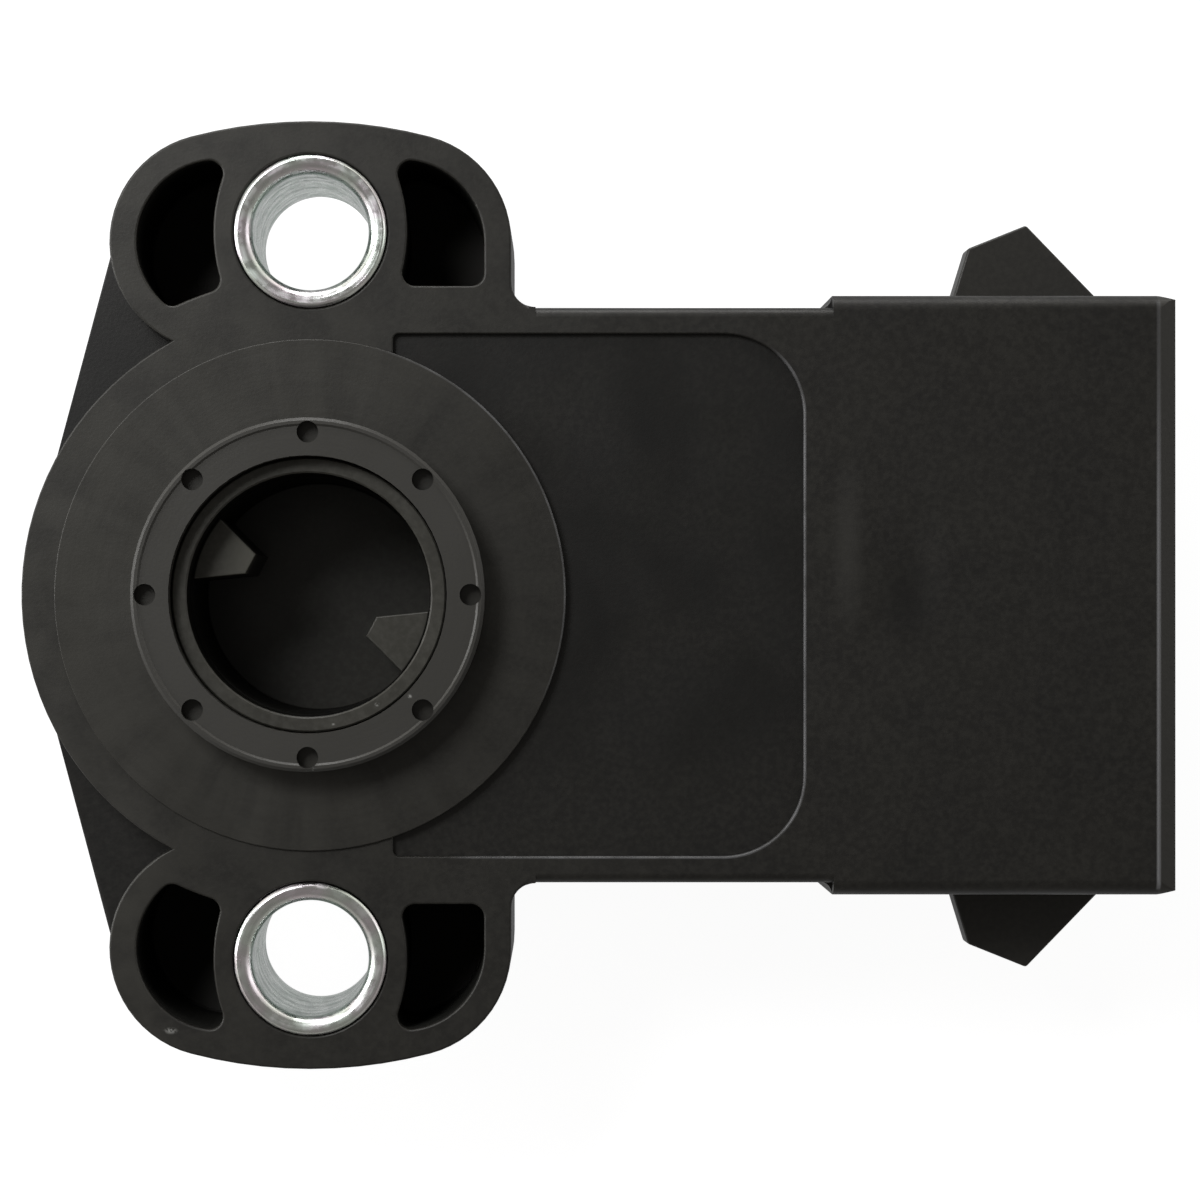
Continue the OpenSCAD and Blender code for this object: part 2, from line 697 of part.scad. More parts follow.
// Brush: a staked plate with three fingers on each track
module wiper_brush() {
    plate_w = 2.6;
    margin = 1.3;
    plate_x = stake_positions[0] - margin;
    plate_len = stake_positions[1] - stake_positions[0] + 2 * margin;
    top_z = flange_back_z;
    tip_z = board_z + 2 * track_t;
    toe = 0.6;
    curl = 0.25;
    root = 0.2;
    spacing = finger_w * 1.3;
    color(brush_alloy) rotate([0, 0, brush_angle]) {
        translate([0, 0, top_z - brush_t]) linear_extrude(height = brush_t) difference() {
            translate([plate_x, -plate_w / 2]) square([plate_len, plate_w]);
            for (x = stake_positions) translate([x, 0]) circle(r = stake_r + insert_gap);
        }
        for (track = [inner_track_r, outer_track_r], k = [-1:1]) {
            reach = plate_w / 2 + finger_len - toe;
            x = sqrt(track * track - reach * reach) + k * spacing;
            translate([x - finger_w / 2, 0, 0]) rotate([90, 0, 90]) linear_extrude(height = finger_w)
                polygon([
                    [plate_w / 2 - root, top_z - brush_t],
                    [plate_w / 2 - root, top_z],
                    [plate_w / 2 + 1.5 * root, top_z],
                    [plate_w / 2 + finger_len - toe, tip_z + brush_t],
                    [plate_w / 2 + finger_len, tip_z + brush_t + curl],
                    [plate_w / 2 + finger_len, tip_z + curl],
                    [plate_w / 2 + finger_len - toe, tip_z],
                    [plate_w / 2 + root, top_z - brush_t]]);
        }
    }
}

// Wave washer that pushes the rotor up against its thrust ring
module wave_washer() {
    t = washer_space / 4;
    steps = 48;
    r_in = pivot_r + 2 * running_gap;
    r_out = pivot_boss_r - running_gap;
    mid_z = (boss_z + hub_z) / 2;
    swing = (washer_space - t - running_gap) / 2;
    rings = [for (i = [0:steps - 1]) let (a = i * 360 / steps, z = mid_z + swing * cos(3 * a)) [
        r_in * radial(a) + [0, 0, z - t / 2],
        r_out * radial(a) + [0, 0, z - t / 2],
        r_out * radial(a) + [0, 0, z + t / 2],
        r_in * radial(a) + [0, 0, z + t / 2]]];
    color(spring_steel) polyhedron(
        points = [for (ring = rings) for (p = ring) p],
        faces = concat(
            [for (k = [0:steps - 1], i = [0:3]) let (next = (k + 1) % steps)
                [4 * k + i, 4 * next + i, 4 * k + (i + 1) % 4]],
            [for (k = [0:steps - 1], i = [0:3]) let (next = (k + 1) % steps)
                [4 * k + (i + 1) % 4, 4 * next + i, 4 * next + (i + 1) % 4]]));
}

// Board with a resistive track and a collector track, printed on its front
module resistive_board() {
    track_margin = 25;
    track_lead = 45;
    track_from = brush_angle - travel - track_margin;
    track_to = brush_angle + track_lead;
    color(board_green) {
        translate([0, 0, board_back_z]) linear_extrude(height = board_t) difference() {
            chamber_outline(board_ledge - seat_gap);
            circle(r = hub_r + 3 * seat_gap);
            for (y = terminal_ys) translate([tail_x, y])
                square([blade_t + 2 * seat_gap, tail_w + 2 * seat_gap], center = true);
        }
        for (r = [inner_track_r, outer_track_r])
            sector(r - track_w / 2, r + track_w / 2, track_from, track_to, board_z - track_t,
                board_z + track_t);
    }
}

// A terminal: blade in the socket, shoulder behind the wall, and a tail down to the board
module terminal(y) {
    half = blade_w / 2;
    color(tin) translate([0, y, 0]) {
        intersection() {
            translate([0, 0, blade_z - blade_t / 2]) linear_extrude(height = blade_t) polygon([
                [tail_x - blade_t / 2, -tail_w / 2],
                [chamber_end - shoulder_len - 1, -tail_w / 2],
                [chamber_end - shoulder_len, -shoulder_w / 2],
                [chamber_end, -shoulder_w / 2],
                [chamber_end, -half],
                [blade_tip_x - blade_tip_bevel, -half],
                [blade_tip_x, -half + blade_tip_bevel],
                [blade_tip_x, half - blade_tip_bevel],
                [blade_tip_x - blade_tip_bevel, half],
                [chamber_end, half],
                [chamber_end, shoulder_w / 2],
                [chamber_end - shoulder_len, shoulder_w / 2],
                [chamber_end - shoulder_len - 1, tail_w / 2],
                [tail_x - blade_t / 2, tail_w / 2]]);
            rotate([90, 0, 0]) translate([0, 0, -shoulder_w]) linear_extrude(height = 2 * shoulder_w)
                polygon([
                    [tail_x - blade_t, blade_z - blade_t],
                    [blade_tip_x - 2 * blade_t, blade_z - blade_t / 2],
                    [blade_tip_x - 1, blade_z - blade_t / 2],
                    [blade_tip_x, blade_z - blade_t / 6],
                    [blade_tip_x, blade_z + blade_t / 6],
                    [blade_tip_x - 1, blade_z + blade_t / 2],
                    [blade_tip_x - 2 * blade_t, blade_z + blade_t / 2],
                    [tail_x - blade_t, blade_z + blade_t]]);
        }
        translate([tail_x - blade_t / 2, -tail_w / 2, tail_end_z])
            cube([blade_t, tail_w, blade_z - tail_end_z]);
    }
}

module supply_terminal() { terminal(terminal_ys[0]); }

module signal_terminal() { terminal(terminal_ys[1]); }

module ground_terminal() { terminal(terminal_ys[2]); }

// Solder round each tail on the back of the board
module solder_joints() {
    pad_r = tail_w * 0.9;
    height = 0.75 * tail_stub;
    color(tin) for (y = terminal_ys) translate([tail_x, y, board_back_z - height]) difference() {
        cylinder(r1 = pad_r * 0.85, r2 = pad_r, h = height);
        translate([-blade_t / 2 - insert_gap, -tail_w / 2 - insert_gap, -over])
            cube([blade_t + 2 * insert_gap, tail_w + 2 * insert_gap, height + 2 * over]);
    }
}

// Rear cover with the rotor's rear bearing and the pegs that hold the board
module rear_cover() {
    groove_z = back_z + bead_depth;
    peg_r = 0.8;
    peg_x = chamber_r * 0.6;
    peg_y = chamber_r * 0.68;
    color(plastic_black) difference() {
        union() {
            translate([0, 0, groove_z]) linear_extrude(height = cover_in_z - groove_z)
                chamber_outline(cover_ledge - seat_gap);
            translate([0, 0, back_z]) linear_extrude(height = cover_t)
                chamber_outline(cover_ledge - bead_w);
            translate([0, 0, back_z]) cylinder(r = hub_r, h = hub_z - back_z);
            both_sides() for (x = [-peg_x, peg_x, chamber_end - chamber_corner_r])
                translate([x, peg_y, back_z]) cylinder(r = peg_r, h = board_back_z - back_z);
        }
        translate([0, 0, hub_floor_z]) cylinder(r = pivot_r + running_gap, h = hub_z - hub_floor_z + over);
        translate([0, 0, back_z - over]) cylinder(r = hub_r, h = hub_drop + over);
    }
}

// Epoxy bead that seals the cover into the housing
module sealing_bead() {
    color(epoxy_black) translate([0, 0, back_z + seat_gap])
        linear_extrude(height = bead_depth - seat_gap - insert_gap) difference() {
            chamber_outline(cover_ledge - running_gap);
            chamber_outline(cover_ledge - bead_w + running_gap);
        }
}

housing();
upper_sleeve();
lower_sleeve();
rotor();
thrust_ring();
return_spring();
wiper_brush();
wave_washer();
resistive_board();
supply_terminal();
signal_terminal();
ground_terminal();
solder_joints();
rear_cover();
sealing_bead();
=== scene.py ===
"""Throttle position sensor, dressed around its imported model.

The housing is one black glass-filled moulding. Two bright sleeves stand in its ears, and
a drive cup turns inside the raised collar. Lengths are in millimetres until mm() turns them into
metres, colours are sRGB hex codes such as "#2b2b2c", and shares run from 0 to 1.
"""

from __future__ import annotations

import logging
import math
from dataclasses import dataclass, field
from enum import Enum
from functools import cached_property
from typing import Any, NamedTuple, Sequence

import bmesh
import bpy
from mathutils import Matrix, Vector
from mathutils.bvhtree import BVHTree


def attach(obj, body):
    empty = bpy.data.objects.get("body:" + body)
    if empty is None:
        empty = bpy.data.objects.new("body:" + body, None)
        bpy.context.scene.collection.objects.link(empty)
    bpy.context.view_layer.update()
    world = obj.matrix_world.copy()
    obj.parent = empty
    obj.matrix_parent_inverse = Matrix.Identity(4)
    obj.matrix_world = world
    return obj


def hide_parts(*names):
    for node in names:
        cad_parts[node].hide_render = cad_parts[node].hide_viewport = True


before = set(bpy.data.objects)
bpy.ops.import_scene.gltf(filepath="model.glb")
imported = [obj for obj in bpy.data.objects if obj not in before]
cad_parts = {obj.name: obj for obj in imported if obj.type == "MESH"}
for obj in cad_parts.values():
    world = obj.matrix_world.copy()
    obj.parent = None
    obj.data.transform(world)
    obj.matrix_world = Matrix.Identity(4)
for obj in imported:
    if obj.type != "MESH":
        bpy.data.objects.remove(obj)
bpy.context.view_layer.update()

log = logging.getLogger("sensor")

SENSOR_BODY = "sensor_body"
TURNING_ROTOR = "turning_rotor"

# Sizes of the part that shapes and finishes share
DISC_R = 12.65
LIP_X = 41.98
HOLE_Y = 18.0
BORE_R = 2.85
LUG_Z = -0.8

Socket = bpy.types.NodeSocket
# Where something starts and where it ends along one measure
Span = tuple[float, float]


def mm(value: float) -> float:
    """Millimetres as metres."""
    return value * 0.001


def srgb(code: str) -> tuple[float, float, float, float]:
    """An sRGB hex colour as the linear colour that a shader takes.

    Args:
        code: Six hex digits after a hash, such as "#2b2b2c".

    Returns:
        Red, green, blue and an alpha of 1.
    """
    parts = [int(code[i : i + 2], 16) / 255 for i in (1, 3, 5)]
    red, green, blue = (p / 12.92 if p <= 0.04045 else ((p + 0.055) / 1.055) ** 2.4 for p in parts)
    return (red, green, blue, 1.0)


class Step(NamedTuple):
    """A smooth change of a mask along one measure.

    Attributes:
        measure: The socket that it follows, such as a height or a pattern's value.
        start: Where the change starts.
        end: Where it ends, above the start.
        before: The mask's value up to the start.
        after: Its value from the end on.
    """

    measure: Socket
    start: float
    end: float
    before: float = 0.0
    after: float = 1.0


@dataclass
class Net:
    """A node tree that grows node by node.

    Attributes:
        tree: The tree itself.
    """

    tree: bpy.types.NodeTree

    def add(
        self, kind: str, settings: dict[str, Any] | None = None, inputs: dict[str | int, Any] | None = None
    ) -> bpy.types.Node:
        """Adds a node, sets its properties, and fills or links its inputs.

        Args:
            kind: The node's Blender type name.
            settings: Properties of the node itself.
            inputs: Input name or index to a plain value, or to an output socket to link.

        Returns:
            The new node.
        """
        node = self.tree.nodes.new(kind)
        for name, value in (settings or {}).items():
            setattr(node, name, value)
        for key, value in (inputs or {}).items():
            if isinstance(value, Socket):
                self.tree.links.new(value, node.inputs[key])
            else:
                node.inputs[key].default_value = value
        return node

    def chain(self, operation: str, *values: Any) -> Socket:
        """Works through two or more values, one after another, by the same operation.

        Args:
            operation: The Math nodes' operation.
            values: Sockets or plain values.

        Returns:
            The result's socket.
        """
        result = values[0]
        for value in values[1:]:
            node = self.add("ShaderNodeMath", {"operation": operation}, {0: result, 1: value})
            result = node.outputs["Value"]
        return result

    def mask(self, *steps: Step) -> Socket:
        """Multiplies smooth steps into one mask.

        Args:
            steps: One or more steps.

        Returns:
            The mask's socket.
        """
        values = []
        for step in steps:
            node = self.add("ShaderNodeMapRange", {"interpolation_type": "SMOOTHSTEP"}, {
                "Value": step.measure, "From Min": step.start, "From Max": step.end,
                "To Min": step.before, "To Max": step.after})
            values.append(node.outputs["Result"])
        return self.chain("MULTIPLY", *values)


class Grain(Enum):
    """How the mould's skin was made. The value is the strength of the plastic's grain."""

    SPARK_ERODED = 1.0
    POLISHED = 0.35


@dataclass(frozen=True)
class Mark:
    """A soft oval patch on a surface, such as a nick or a shallow sink.

    Attributes:
        x: Its centre along X.
        y: Its centre along Y.
        z: Its centre along Z.
        width: Its width along X and Z.
        length: Its length along Y.
        amount: How strong it is, where 1 is full and a negative one is a swell, not a sink.
    """

    x: float
    y: float
    z: float
    width: float
    length: float
    amount: float


@dataclass(frozen=True)
class Finish:
    """A surface finish that becomes one Blender material.

    Attributes:
        name: The material's name, in a maker's words.
        slot: The record's material slot that it belongs to. It is not used.
        colour: Its colour.
        roughness: Its mean roughness.
        specular: How strongly a part that isn't metal mirrors, where 0.5 is plain plastic.
        metallic: 1 for a metal, and 0 for anything else.
        centre: Where the upright axis of its round marks passes through the XY plane.
    """

    name: str
    slot: str
    colour: str
    roughness: float
    specular: float = 0.5
    metallic: float = 0.0
    centre: tuple[float, float] = (0.0, 0.0)

    def cover(self, paint: Paint) -> None:
        """Puts the finish's layers on the material so far. A plain finish has none."""

    def build(self) -> bpy.types.Material:
        """Makes the material.

        Returns:
            The finished material.
        """
        paint = Paint(self)
        self.cover(paint)
        return paint.done()


@dataclass
class Paint(Net):
    """A material while its layers go on.

    Attributes:
        tree: The material's node tree.
        material: The material itself.
        shader: Its Principled shader.
        finish: The finish that it starts from.
        colour: The colour so far, plain or as a socket.
        rough: The roughness, where it varies.
        mirror: The specular level, where it varies.
        relief: The heights that add up to the surface's relief.
        strength: How much of the relief shows.
    """

    tree: bpy.types.NodeTree = field(init=False)
    material: bpy.types.Material = field(init=False)
    shader: bpy.types.Node = field(init=False)
    finish: Finish
    colour: Any = None
    rough: Socket | None = None
    mirror: Socket | None = None
    relief: list[Socket] = field(default_factory=list)
    strength: float = 1.0

    def __post_init__(self) -> None:
        """Makes the material, whose shader has the finish's plain values."""
        self.material = bpy.data.materials.new(self.finish.name)
        self.material.use_nodes = True
        self.material.diffuse_color = self.colour = srgb(self.finish.colour)
        self.tree = self.material.node_tree
        self.tree.nodes.clear()
        self.shader = self.add("ShaderNodeBsdfPrincipled", inputs={
            "Base Color": self.colour, "Roughness": self.finish.roughness,
            "Specular IOR Level": self.finish.specular, "Metallic": self.finish.metallic})
        self.add("ShaderNodeOutputMaterial", inputs={"Surface": self.shader.outputs["BSDF"]})

    @cached_property
    def place(self) -> Socket:
        """Object coordinates, in millimetres."""
        metres = self.add("ShaderNodeTexCoord").outputs["Object"]
        return self.add("ShaderNodeVectorMath", {"operation": "SCALE"}, {
            0: metres, "Scale": 1.0 / mm(1.0)}).outputs["Vector"]

    @cached_property
    def axes(self) -> tuple[Socket, Socket, Socket]:
        """The coordinates along X, Y and Z."""
        return tuple(self.add("ShaderNodeSeparateXYZ", inputs={"Vector": self.place}).outputs)

    @cached_property
    def radius(self) -> Socket:
        """Distance from the finish's upright axis."""
        return self.outside((0.0, 0.0))

    @cached_property
    def angle(self) -> Socket:
        """Angle about the finish's upright axis, in radians."""
        x, y = (self.chain("SUBTRACT", part, at) for part, at in zip(self.axes, self.finish.centre))
        return self.chain("ARCTAN2", y, x)

    def gap(self, value: Socket, at: float = 0.0) -> Socket:
        """How far a value lies from another, to either side."""
        off = self.chain("SUBTRACT", value, at)
        return self.add("ShaderNodeMath", {"operation": "ABSOLUTE"}, {0: off}).outputs["Value"]

    def outside(self, half: tuple[float, float]) -> Socket:
        """Distance, seen along Z, from a rectangle about the finish's axis.

        Args:
            half: Half the rectangle's sizes along X and Y.

        Returns:
            The distance's socket, with 0 inside.
        """
        past = [self.chain("MAXIMUM", self.chain("SUBTRACT", self.gap(part, at), edge), 0.0)
                for part, at, edge in zip(self.axes, self.finish.centre, half)]
        flat = self.add("ShaderNodeCombineXYZ", inputs={"X": past[0], "Y": past[1]})
        return self.add("ShaderNodeVectorMath", {"operation": "LENGTH"}, {
            0: flat.outputs["Vector"]}).outputs["Value"]

    def speckle(self, size: float, detail: float = 2.0, along: Sequence[Socket] = ()) -> Socket:
        """A pattern of soft random patches, with values from 0 to 1.

        Args:
            size: Size of a patch.
            detail: Number of finer layers in it.
            along: Two measures that it follows instead of the object's own axes.

        Returns:
            The pattern's socket.
        """
        place = self.place
        if along:
            place = self.add("ShaderNodeCombineXYZ", inputs=dict(zip("XY", along))).outputs["Vector"]
        return self.add("ShaderNodeTexNoise", inputs={
            "Vector": place, "Scale": 1.0 / size, "Detail": detail}).outputs["Fac"]

    def patches(self, marks: Sequence[Mark]) -> Socket:
        """The amounts of soft marks, each of which fades towards its patch's edge.

        Args:
            marks: One or more marks.

        Returns:
            The amounts' socket.
        """
        amounts = []
        for mark in marks:
            way = self.place
            for operation, value in (
                    ("SUBTRACT", (mark.x, mark.y, mark.z)),
                    ("MULTIPLY", (2 / mark.width, 2 / mark.length, 2 / mark.width))):
                way = self.add("ShaderNodeVectorMath", {"operation": operation}, {
                    0: way, 1: value}).outputs["Vector"]
            reach = self.add("ShaderNodeVectorMath", {"operation": "LENGTH"}, {0: way})
            amounts.append(self.mask(Step(reach.outputs["Value"], 0.0, 1.0, mark.amount, 0.0)))
        return self.chain("ADD", *amounts)

    def layer(self, share: Socket, colour: str) -> None:
        """Puts a colour over the one so far, by the share that shows."""
        self.colour = self.add("ShaderNodeMix", {"data_type": "RGBA"}, {
            "Factor": share, 6: self.colour, 7: srgb(colour)}).outputs[2]

    def done(self) -> bpy.types.Material:
        """Links the layers to the shader.

        Returns:
            The material.
        """
        results = {"Base Color": self.colour, "Roughness": self.rough, "Specular IOR Level": self.mirror}
        if self.relief:
            bump = self.add("ShaderNodeBump", inputs={
                "Height": self.chain("ADD", *self.relief), "Distance": mm(1.0), "Strength": self.strength})
            results["Normal"] = bump.outputs["Normal"]
        for name, value in results.items():
            if isinstance(value, Socket):
                self.tree.links.new(value, self.shader.inputs[name])
        return self.material


@dataclass(frozen=True)
class MouldedPlastic(Finish):
    """Injection-moulded black PBT with glass fibre.

    The eye gets a charcoal skin with soft clouds where the melt flowed, pale specks where
    fibres reach the surface, and a fine matt grain from the mould.

    Attributes:
        pale: Colour of the paler clouds.
        broken: Colour of the filled resin under the skin.
        grain: How the mould's skin was made.
        grain_size: Width of a grain.
        grain_depth: Depth of the grain.
        fibre_size: Width of a tuft of glass fibres.
        cloud_size: Width of a flow cloud.
        gloss_swing: How far the clouds take the roughness to either side.
        chip_size: Width of the chips that a nick is made of.
        nicks: Pale scuffs.
    """

    pale: str = "#2b2a27"
    broken: str = "#a8a8a4"
    grain: Grain = Grain.SPARK_ERODED
    grain_size: float = 0.16
    grain_depth: float = 0.005
    fibre_size: float = 0.288
    cloud_size: float = 5.0
    gloss_swing: float = 0.04
    chip_size: float = 0.12
    nicks: tuple[Mark, ...] = ()

    def cover(self, paint: Paint) -> None:
        """The plain moulded skin.

        Args:
            paint: The material so far.
        """
        clouds = paint.speckle(self.cloud_size, 3.0)
        # Glass fibres are too fine to see one by one, so a speck stands for a tuft of them
        fibres = paint.mask(Step(paint.speckle(self.fibre_size, 4.0), 0.3, 0.75, 0.0, 0.6))
        paint.layer(paint.chain("ADD", paint.mask(Step(clouds, 0.3, 0.7, 0.0, 0.35)), fibres), self.pale)
        paint.rough = paint.mask(Step(
            clouds, 0.3, 0.7, self.roughness + self.gloss_swing, self.roughness - self.gloss_swing))
        paint.relief.append(paint.chain("MULTIPLY", paint.speckle(self.grain_size), self.grain_depth))
        paint.strength = self.grain.value

    def nick(self, paint: Paint) -> None:
        """Breaks the skin at the nicks, where the filled resin shows."""
        chips = paint.mask(Step(paint.speckle(self.chip_size), 0.35, 0.55))
        paint.layer(paint.chain("MULTIPLY", paint.patches(self.nicks), chips), self.broken)

    def darken(self, paint: Paint, inside: Socket) -> None:
        """Takes the mirror off the walls inside a hollow, which see no bright room."""
        paint.mirror = paint.chain("MULTIPLY", paint.chain("SUBTRACT", 1.0, inside), self.specular)


@dataclass(frozen=True)
class HousingPlastic(MouldedPlastic):
    """The housing's skin, with what its mould and its use left on it.

    The eye gets a paler face with fine concentric marks where the tool's round insert was
    turned, with a painted radial sheen, skin painted paler towards the key lamp, pockets
    painted as shade with no mirror, as little light reaches them, a sink over the wall behind
    the terminals with a painted highlight and painted shade, painted highlights on the lip and
    corners, and a few nicks.

    Attributes:
        turned: Colour of the face under the turned insert, which also carries its painted radial sheen.
        matt: Colour of the ears and the frame round the recess.
        polished: Colour of the recess, whose insert was polished.
        rubbed_and_sheen: Colour of the lip, where it is a painted reflection of the lamp on the right, of
            the collar's top, painted paler, and of the rubbed ramps.
        edge_highlight: Colour of the painted highlights along the lip's start and the corners of the disc
            and the recess.
        sink_highlight: Colour of the painted highlight on the swell over the wall behind the terminals.
        sink_shade: Colour of the painted shade in the sink beside it.
        shaded: Colour of the pockets' walls.
        dusty: Colour of the dust on their floors.
        edge: Half the width over which one zone turns into the next.
        brightest_x: Where the skin is painted palest along X, towards the key lamp.
        socket_x: Where the plug socket starts along X.
        socket_half: Half the socket's width.
        frame_z: Heights between which the recess's skin turns into the frame's.
        blotch: Size of a blotch in the matt skin.
        lower_x: Where the painted shade on the lower ear starts along X, and where it is darkest.
        lower_y: Where that painted shade is darkest along Y, and where it ends.
        smudge: Size of a smudge in the recess.
        dark_y: Where the recess starts to darken along Y, and where it is darkest.
        disc_r: Radius of the round insert's face.
        disc_z: Heights between which the disc's side turns into its face.
        turn_pitch: Distance between the turning marks.
        turn_drift: How far the marks' pattern moves on in one radian.
        turn_depth: Depth of the turning marks.
        turn_gloss: How much smoother the turned face is.
        sheen_size: Size of a streak of the painted radial sheen across its length.
        sheen_spread: Width of the sheen's pattern for each radian.
        sheen_run: Share of the face's radius that the pattern follows, so that the streaks are long.
        collar_z: Heights between which the collar's paler top starts.
        lip_x: Where the socket's lip starts along X.
        lip_edge: Half the width over which the lip's skin starts.
        lip_reach: Where the painted highlight at the lip's corner starts to fade to either side, and where
            it ends.
        lip_y: Where that painted highlight is strongest along Y, and where weakest.
        disc_reach: The same for the painted highlight on the disc's corner as lip_reach for the lip's.
        disc_side_z: Heights between which that corner starts.
        shine_way: Which way the disc's corner shines, as a direction in the XY plane.
        shine_from: How far out that way the shine starts, and where it is full.
        recess_x: Where the recess's far end starts to shine along X, and where it is full.
        recess_half: Half the recess's width.
        recess_end: Where the recess ends along X.
        recess_corner: Radius of its far corners.
        recess_reach: The same for its corner as lip_reach for the lip's.
        low_x: Where its lower side starts to shine along X, and where it is full.
        low_y: Where that shine is full along Y, and where it ends.
        highlight_break: Size of a patch along a corner where the painted highlight is weaker.
        ramp_rise: How far beyond the socket's side a ramp is rubbed.
        mouth_z: Heights between which a pocket's shade ends.
        pocket_x: Where the centres of the pockets' round walls lie along X.
        pocket_y: The same along Y.
        pocket_r: Radius of those walls.
        pocket_edge: How far outside those walls the shade starts to fade, and where it ends.
        pocket_z: Height of the pockets' floors.
        dust_rise: How far above the floors the dust starts to thin, and where it ends.
        ear_y: Where the ears' pockets start, seen from the middle.
        sinks: Shallow hollows, whose amount is a share of sink_depth.
        sink_depth: Depth of a full sink.
        highlit_swells: Where the skin is painted paler, as a highlight on the swell over the wall behind
            the terminals.
        shaded_sinks: Where it is painted darker, as shade in the sink beside it.
    """

    turned: str = "#3c3b37"
    matt: str = "#383733"
    polished: str = "#0a0a09"
    rubbed_and_sheen: str = "#403f3c"
    edge_highlight: str = "#8a8a8c"
    sink_highlight: str = "#33322f"
    sink_shade: str = "#070707"
    shaded: str = "#242422"
    dusty: str = "#464543"
    edge: float = 0.05
    brightest_x: float = -16.0
    socket_x: float = 25.9
    socket_half: float = 14.88
    frame_z: Span = (-0.4, -0.25)
    blotch: float = 2.4
    lower_x: Span = (-9.0, -3.0)
    lower_y: Span = (-24.0, 4.0)
    smudge: float = 6.0
    dark_y: Span = (-13.0, -3.0)
    disc_r: float = DISC_R
    disc_z: Span = (-0.12, -0.05)
    turn_pitch: float = 0.3
    turn_drift: float = 0.6
    turn_depth: float = 0.004
    turn_gloss: float = 0.05
    sheen_size: float = 3.0
    sheen_spread: float = 24.0
    sheen_run: float = 0.3
    collar_z: Span = (1.5, 1.7)
    lip_x: float = LIP_X
    lip_edge: float = 0.02
    lip_reach: Span = (0.04, 0.15)
    lip_y: Span = (2.0, 13.0)
    disc_reach: Span = (0.03, 0.08)
    disc_side_z: Span = (-0.3, -0.2)
    shine_way: tuple[float, float] = (0.9, 0.42)
    shine_from: Span = (7.5, 11.0)
    recess_x: Span = (22.6, 24.2)
    recess_half: float = 12.93
    recess_end: float = 24.42
    recess_corner: float = 4.0
    recess_reach: Span = (0.04, 0.09)
    low_x: Span = (6.5, 9.0)
    low_y: Span = (-12.6, -11.0)
    highlight_break: float = 1.6
    ramp_rise: float = 0.1
    mouth_z: Span = (-0.9, -0.3)
    pocket_x: float = 4.55
    pocket_y: float = 17.48
    pocket_r: float = 4.05
    pocket_edge: Span = (0.3, 0.5)
    pocket_z: float = -7.35
    dust_rise: Span = (0.4, 1.0)
    ear_y: Span = (14.4, 14.6)
    sinks: tuple[Mark, ...] = (
        Mark(27.2, 2.4, -0.2, 3.0, 12.0, -0.8),
        Mark(30.0, 1.6, -0.2, 3.6, 7.5, 1.0),
    )
    sink_depth: float = 0.09
    highlit_swells: tuple[Mark, ...] = (Mark(26.6, 2.3, -0.15, 2.2, 11.0, 0.6),)
    shaded_sinks: tuple[Mark, ...] = (Mark(29.6, -0.3, -0.15, 4.4, 7.0, 0.7),)
    nicks: tuple[Mark, ...] = (
        Mark(-6.9, -21.55, -0.3, 0.9, 0.45, 1.0),
        Mark(5.0, -4.95, 1.9, 0.3, 0.3, 0.9),
        Mark(-6.0, -6.4, 1.95, 0.3, 0.2, 0.8),
        Mark(0.3, -8.5, 1.95, 0.25, 0.3, 0.9),
        Mark(8.2, 19.2, -0.2, 0.25, 0.4, 0.35),
    )

    def cover(self, paint: Paint) -> None:
        """The housing's skin. A later zone hides an earlier one where they meet.

        Args:
            paint: The material so far.
        """
        super().cover(paint)
        self.tell_inserts(paint)
        self.turn_face(paint)
        self.sink_wall(paint)
        self.rub_and_highlight(paint)
        self.shade_pockets(paint)
        self.nick(paint)

    def before(self, measure: Socket, at: float) -> Step:
        """A crisp step from 1 to 0 where a zone ends."""
        return Step(measure, at - self.edge, at + self.edge, 1.0, 0.0)

    def tell_inserts(self, paint: Paint) -> None:
        """The matt ears and frame with painted light and shade, the recess from polished steel, and the
        socket's lip with a painted reflection.

        Args:
            paint: The material so far.
        """
        x, y, up = paint.axes
        # Painted light: the skin is painted paler at the round end, towards the key lamp, and darker
        # towards the socket.
        # Painted shade: the lower ear is painted darker, as the light falls from above.
        matt = paint.mask(
            Step(paint.speckle(self.blotch, 5.0), 0.33, 0.67, 0.4, 1.0), Step(up, *self.frame_z),
            Step(x, self.brightest_x, self.socket_x, 1.0, 0.1))
        lower = paint.chain("MAXIMUM", paint.mask(Step(y, *self.lower_y, 0.6, 1.0)),
                            paint.mask(Step(x, *self.lower_x, 1.0, 0.0)))
        paint.layer(paint.chain("MULTIPLY", matt, lower), self.matt)
        paint.layer(paint.mask(
            self.before(x, self.socket_x), Step(up, *self.frame_z, 1.0, 0.0),
            Step(y, *self.dark_y, 0.3, 1.0),
            Step(paint.speckle(self.smudge, 4.0), 0.3, 0.7, 1.0, 0.35)), self.polished)
        # Painted reflection: the lip is painted paler, as it mirrors the lamp on the right
        paint.layer(paint.mask(
            Step(x, self.lip_x - self.lip_edge, self.lip_x + self.lip_edge, 0.0, 0.6)), self.rubbed_and_sheen)

    def turn_face(self, paint: Paint) -> None:
        """The round insert's face: paler, with marks that follow the tool round, a painted radial sheen,
        and painted light that fades towards the socket.

        Args:
            paint: The material so far.
        """
        x, _, up = paint.axes
        face = paint.mask(self.before(paint.radius, self.disc_r), Step(up, *self.disc_z))
        marks = paint.speckle(self.turn_pitch, 3.0, (
            paint.radius, paint.chain("MULTIPLY", paint.angle, self.turn_drift)))
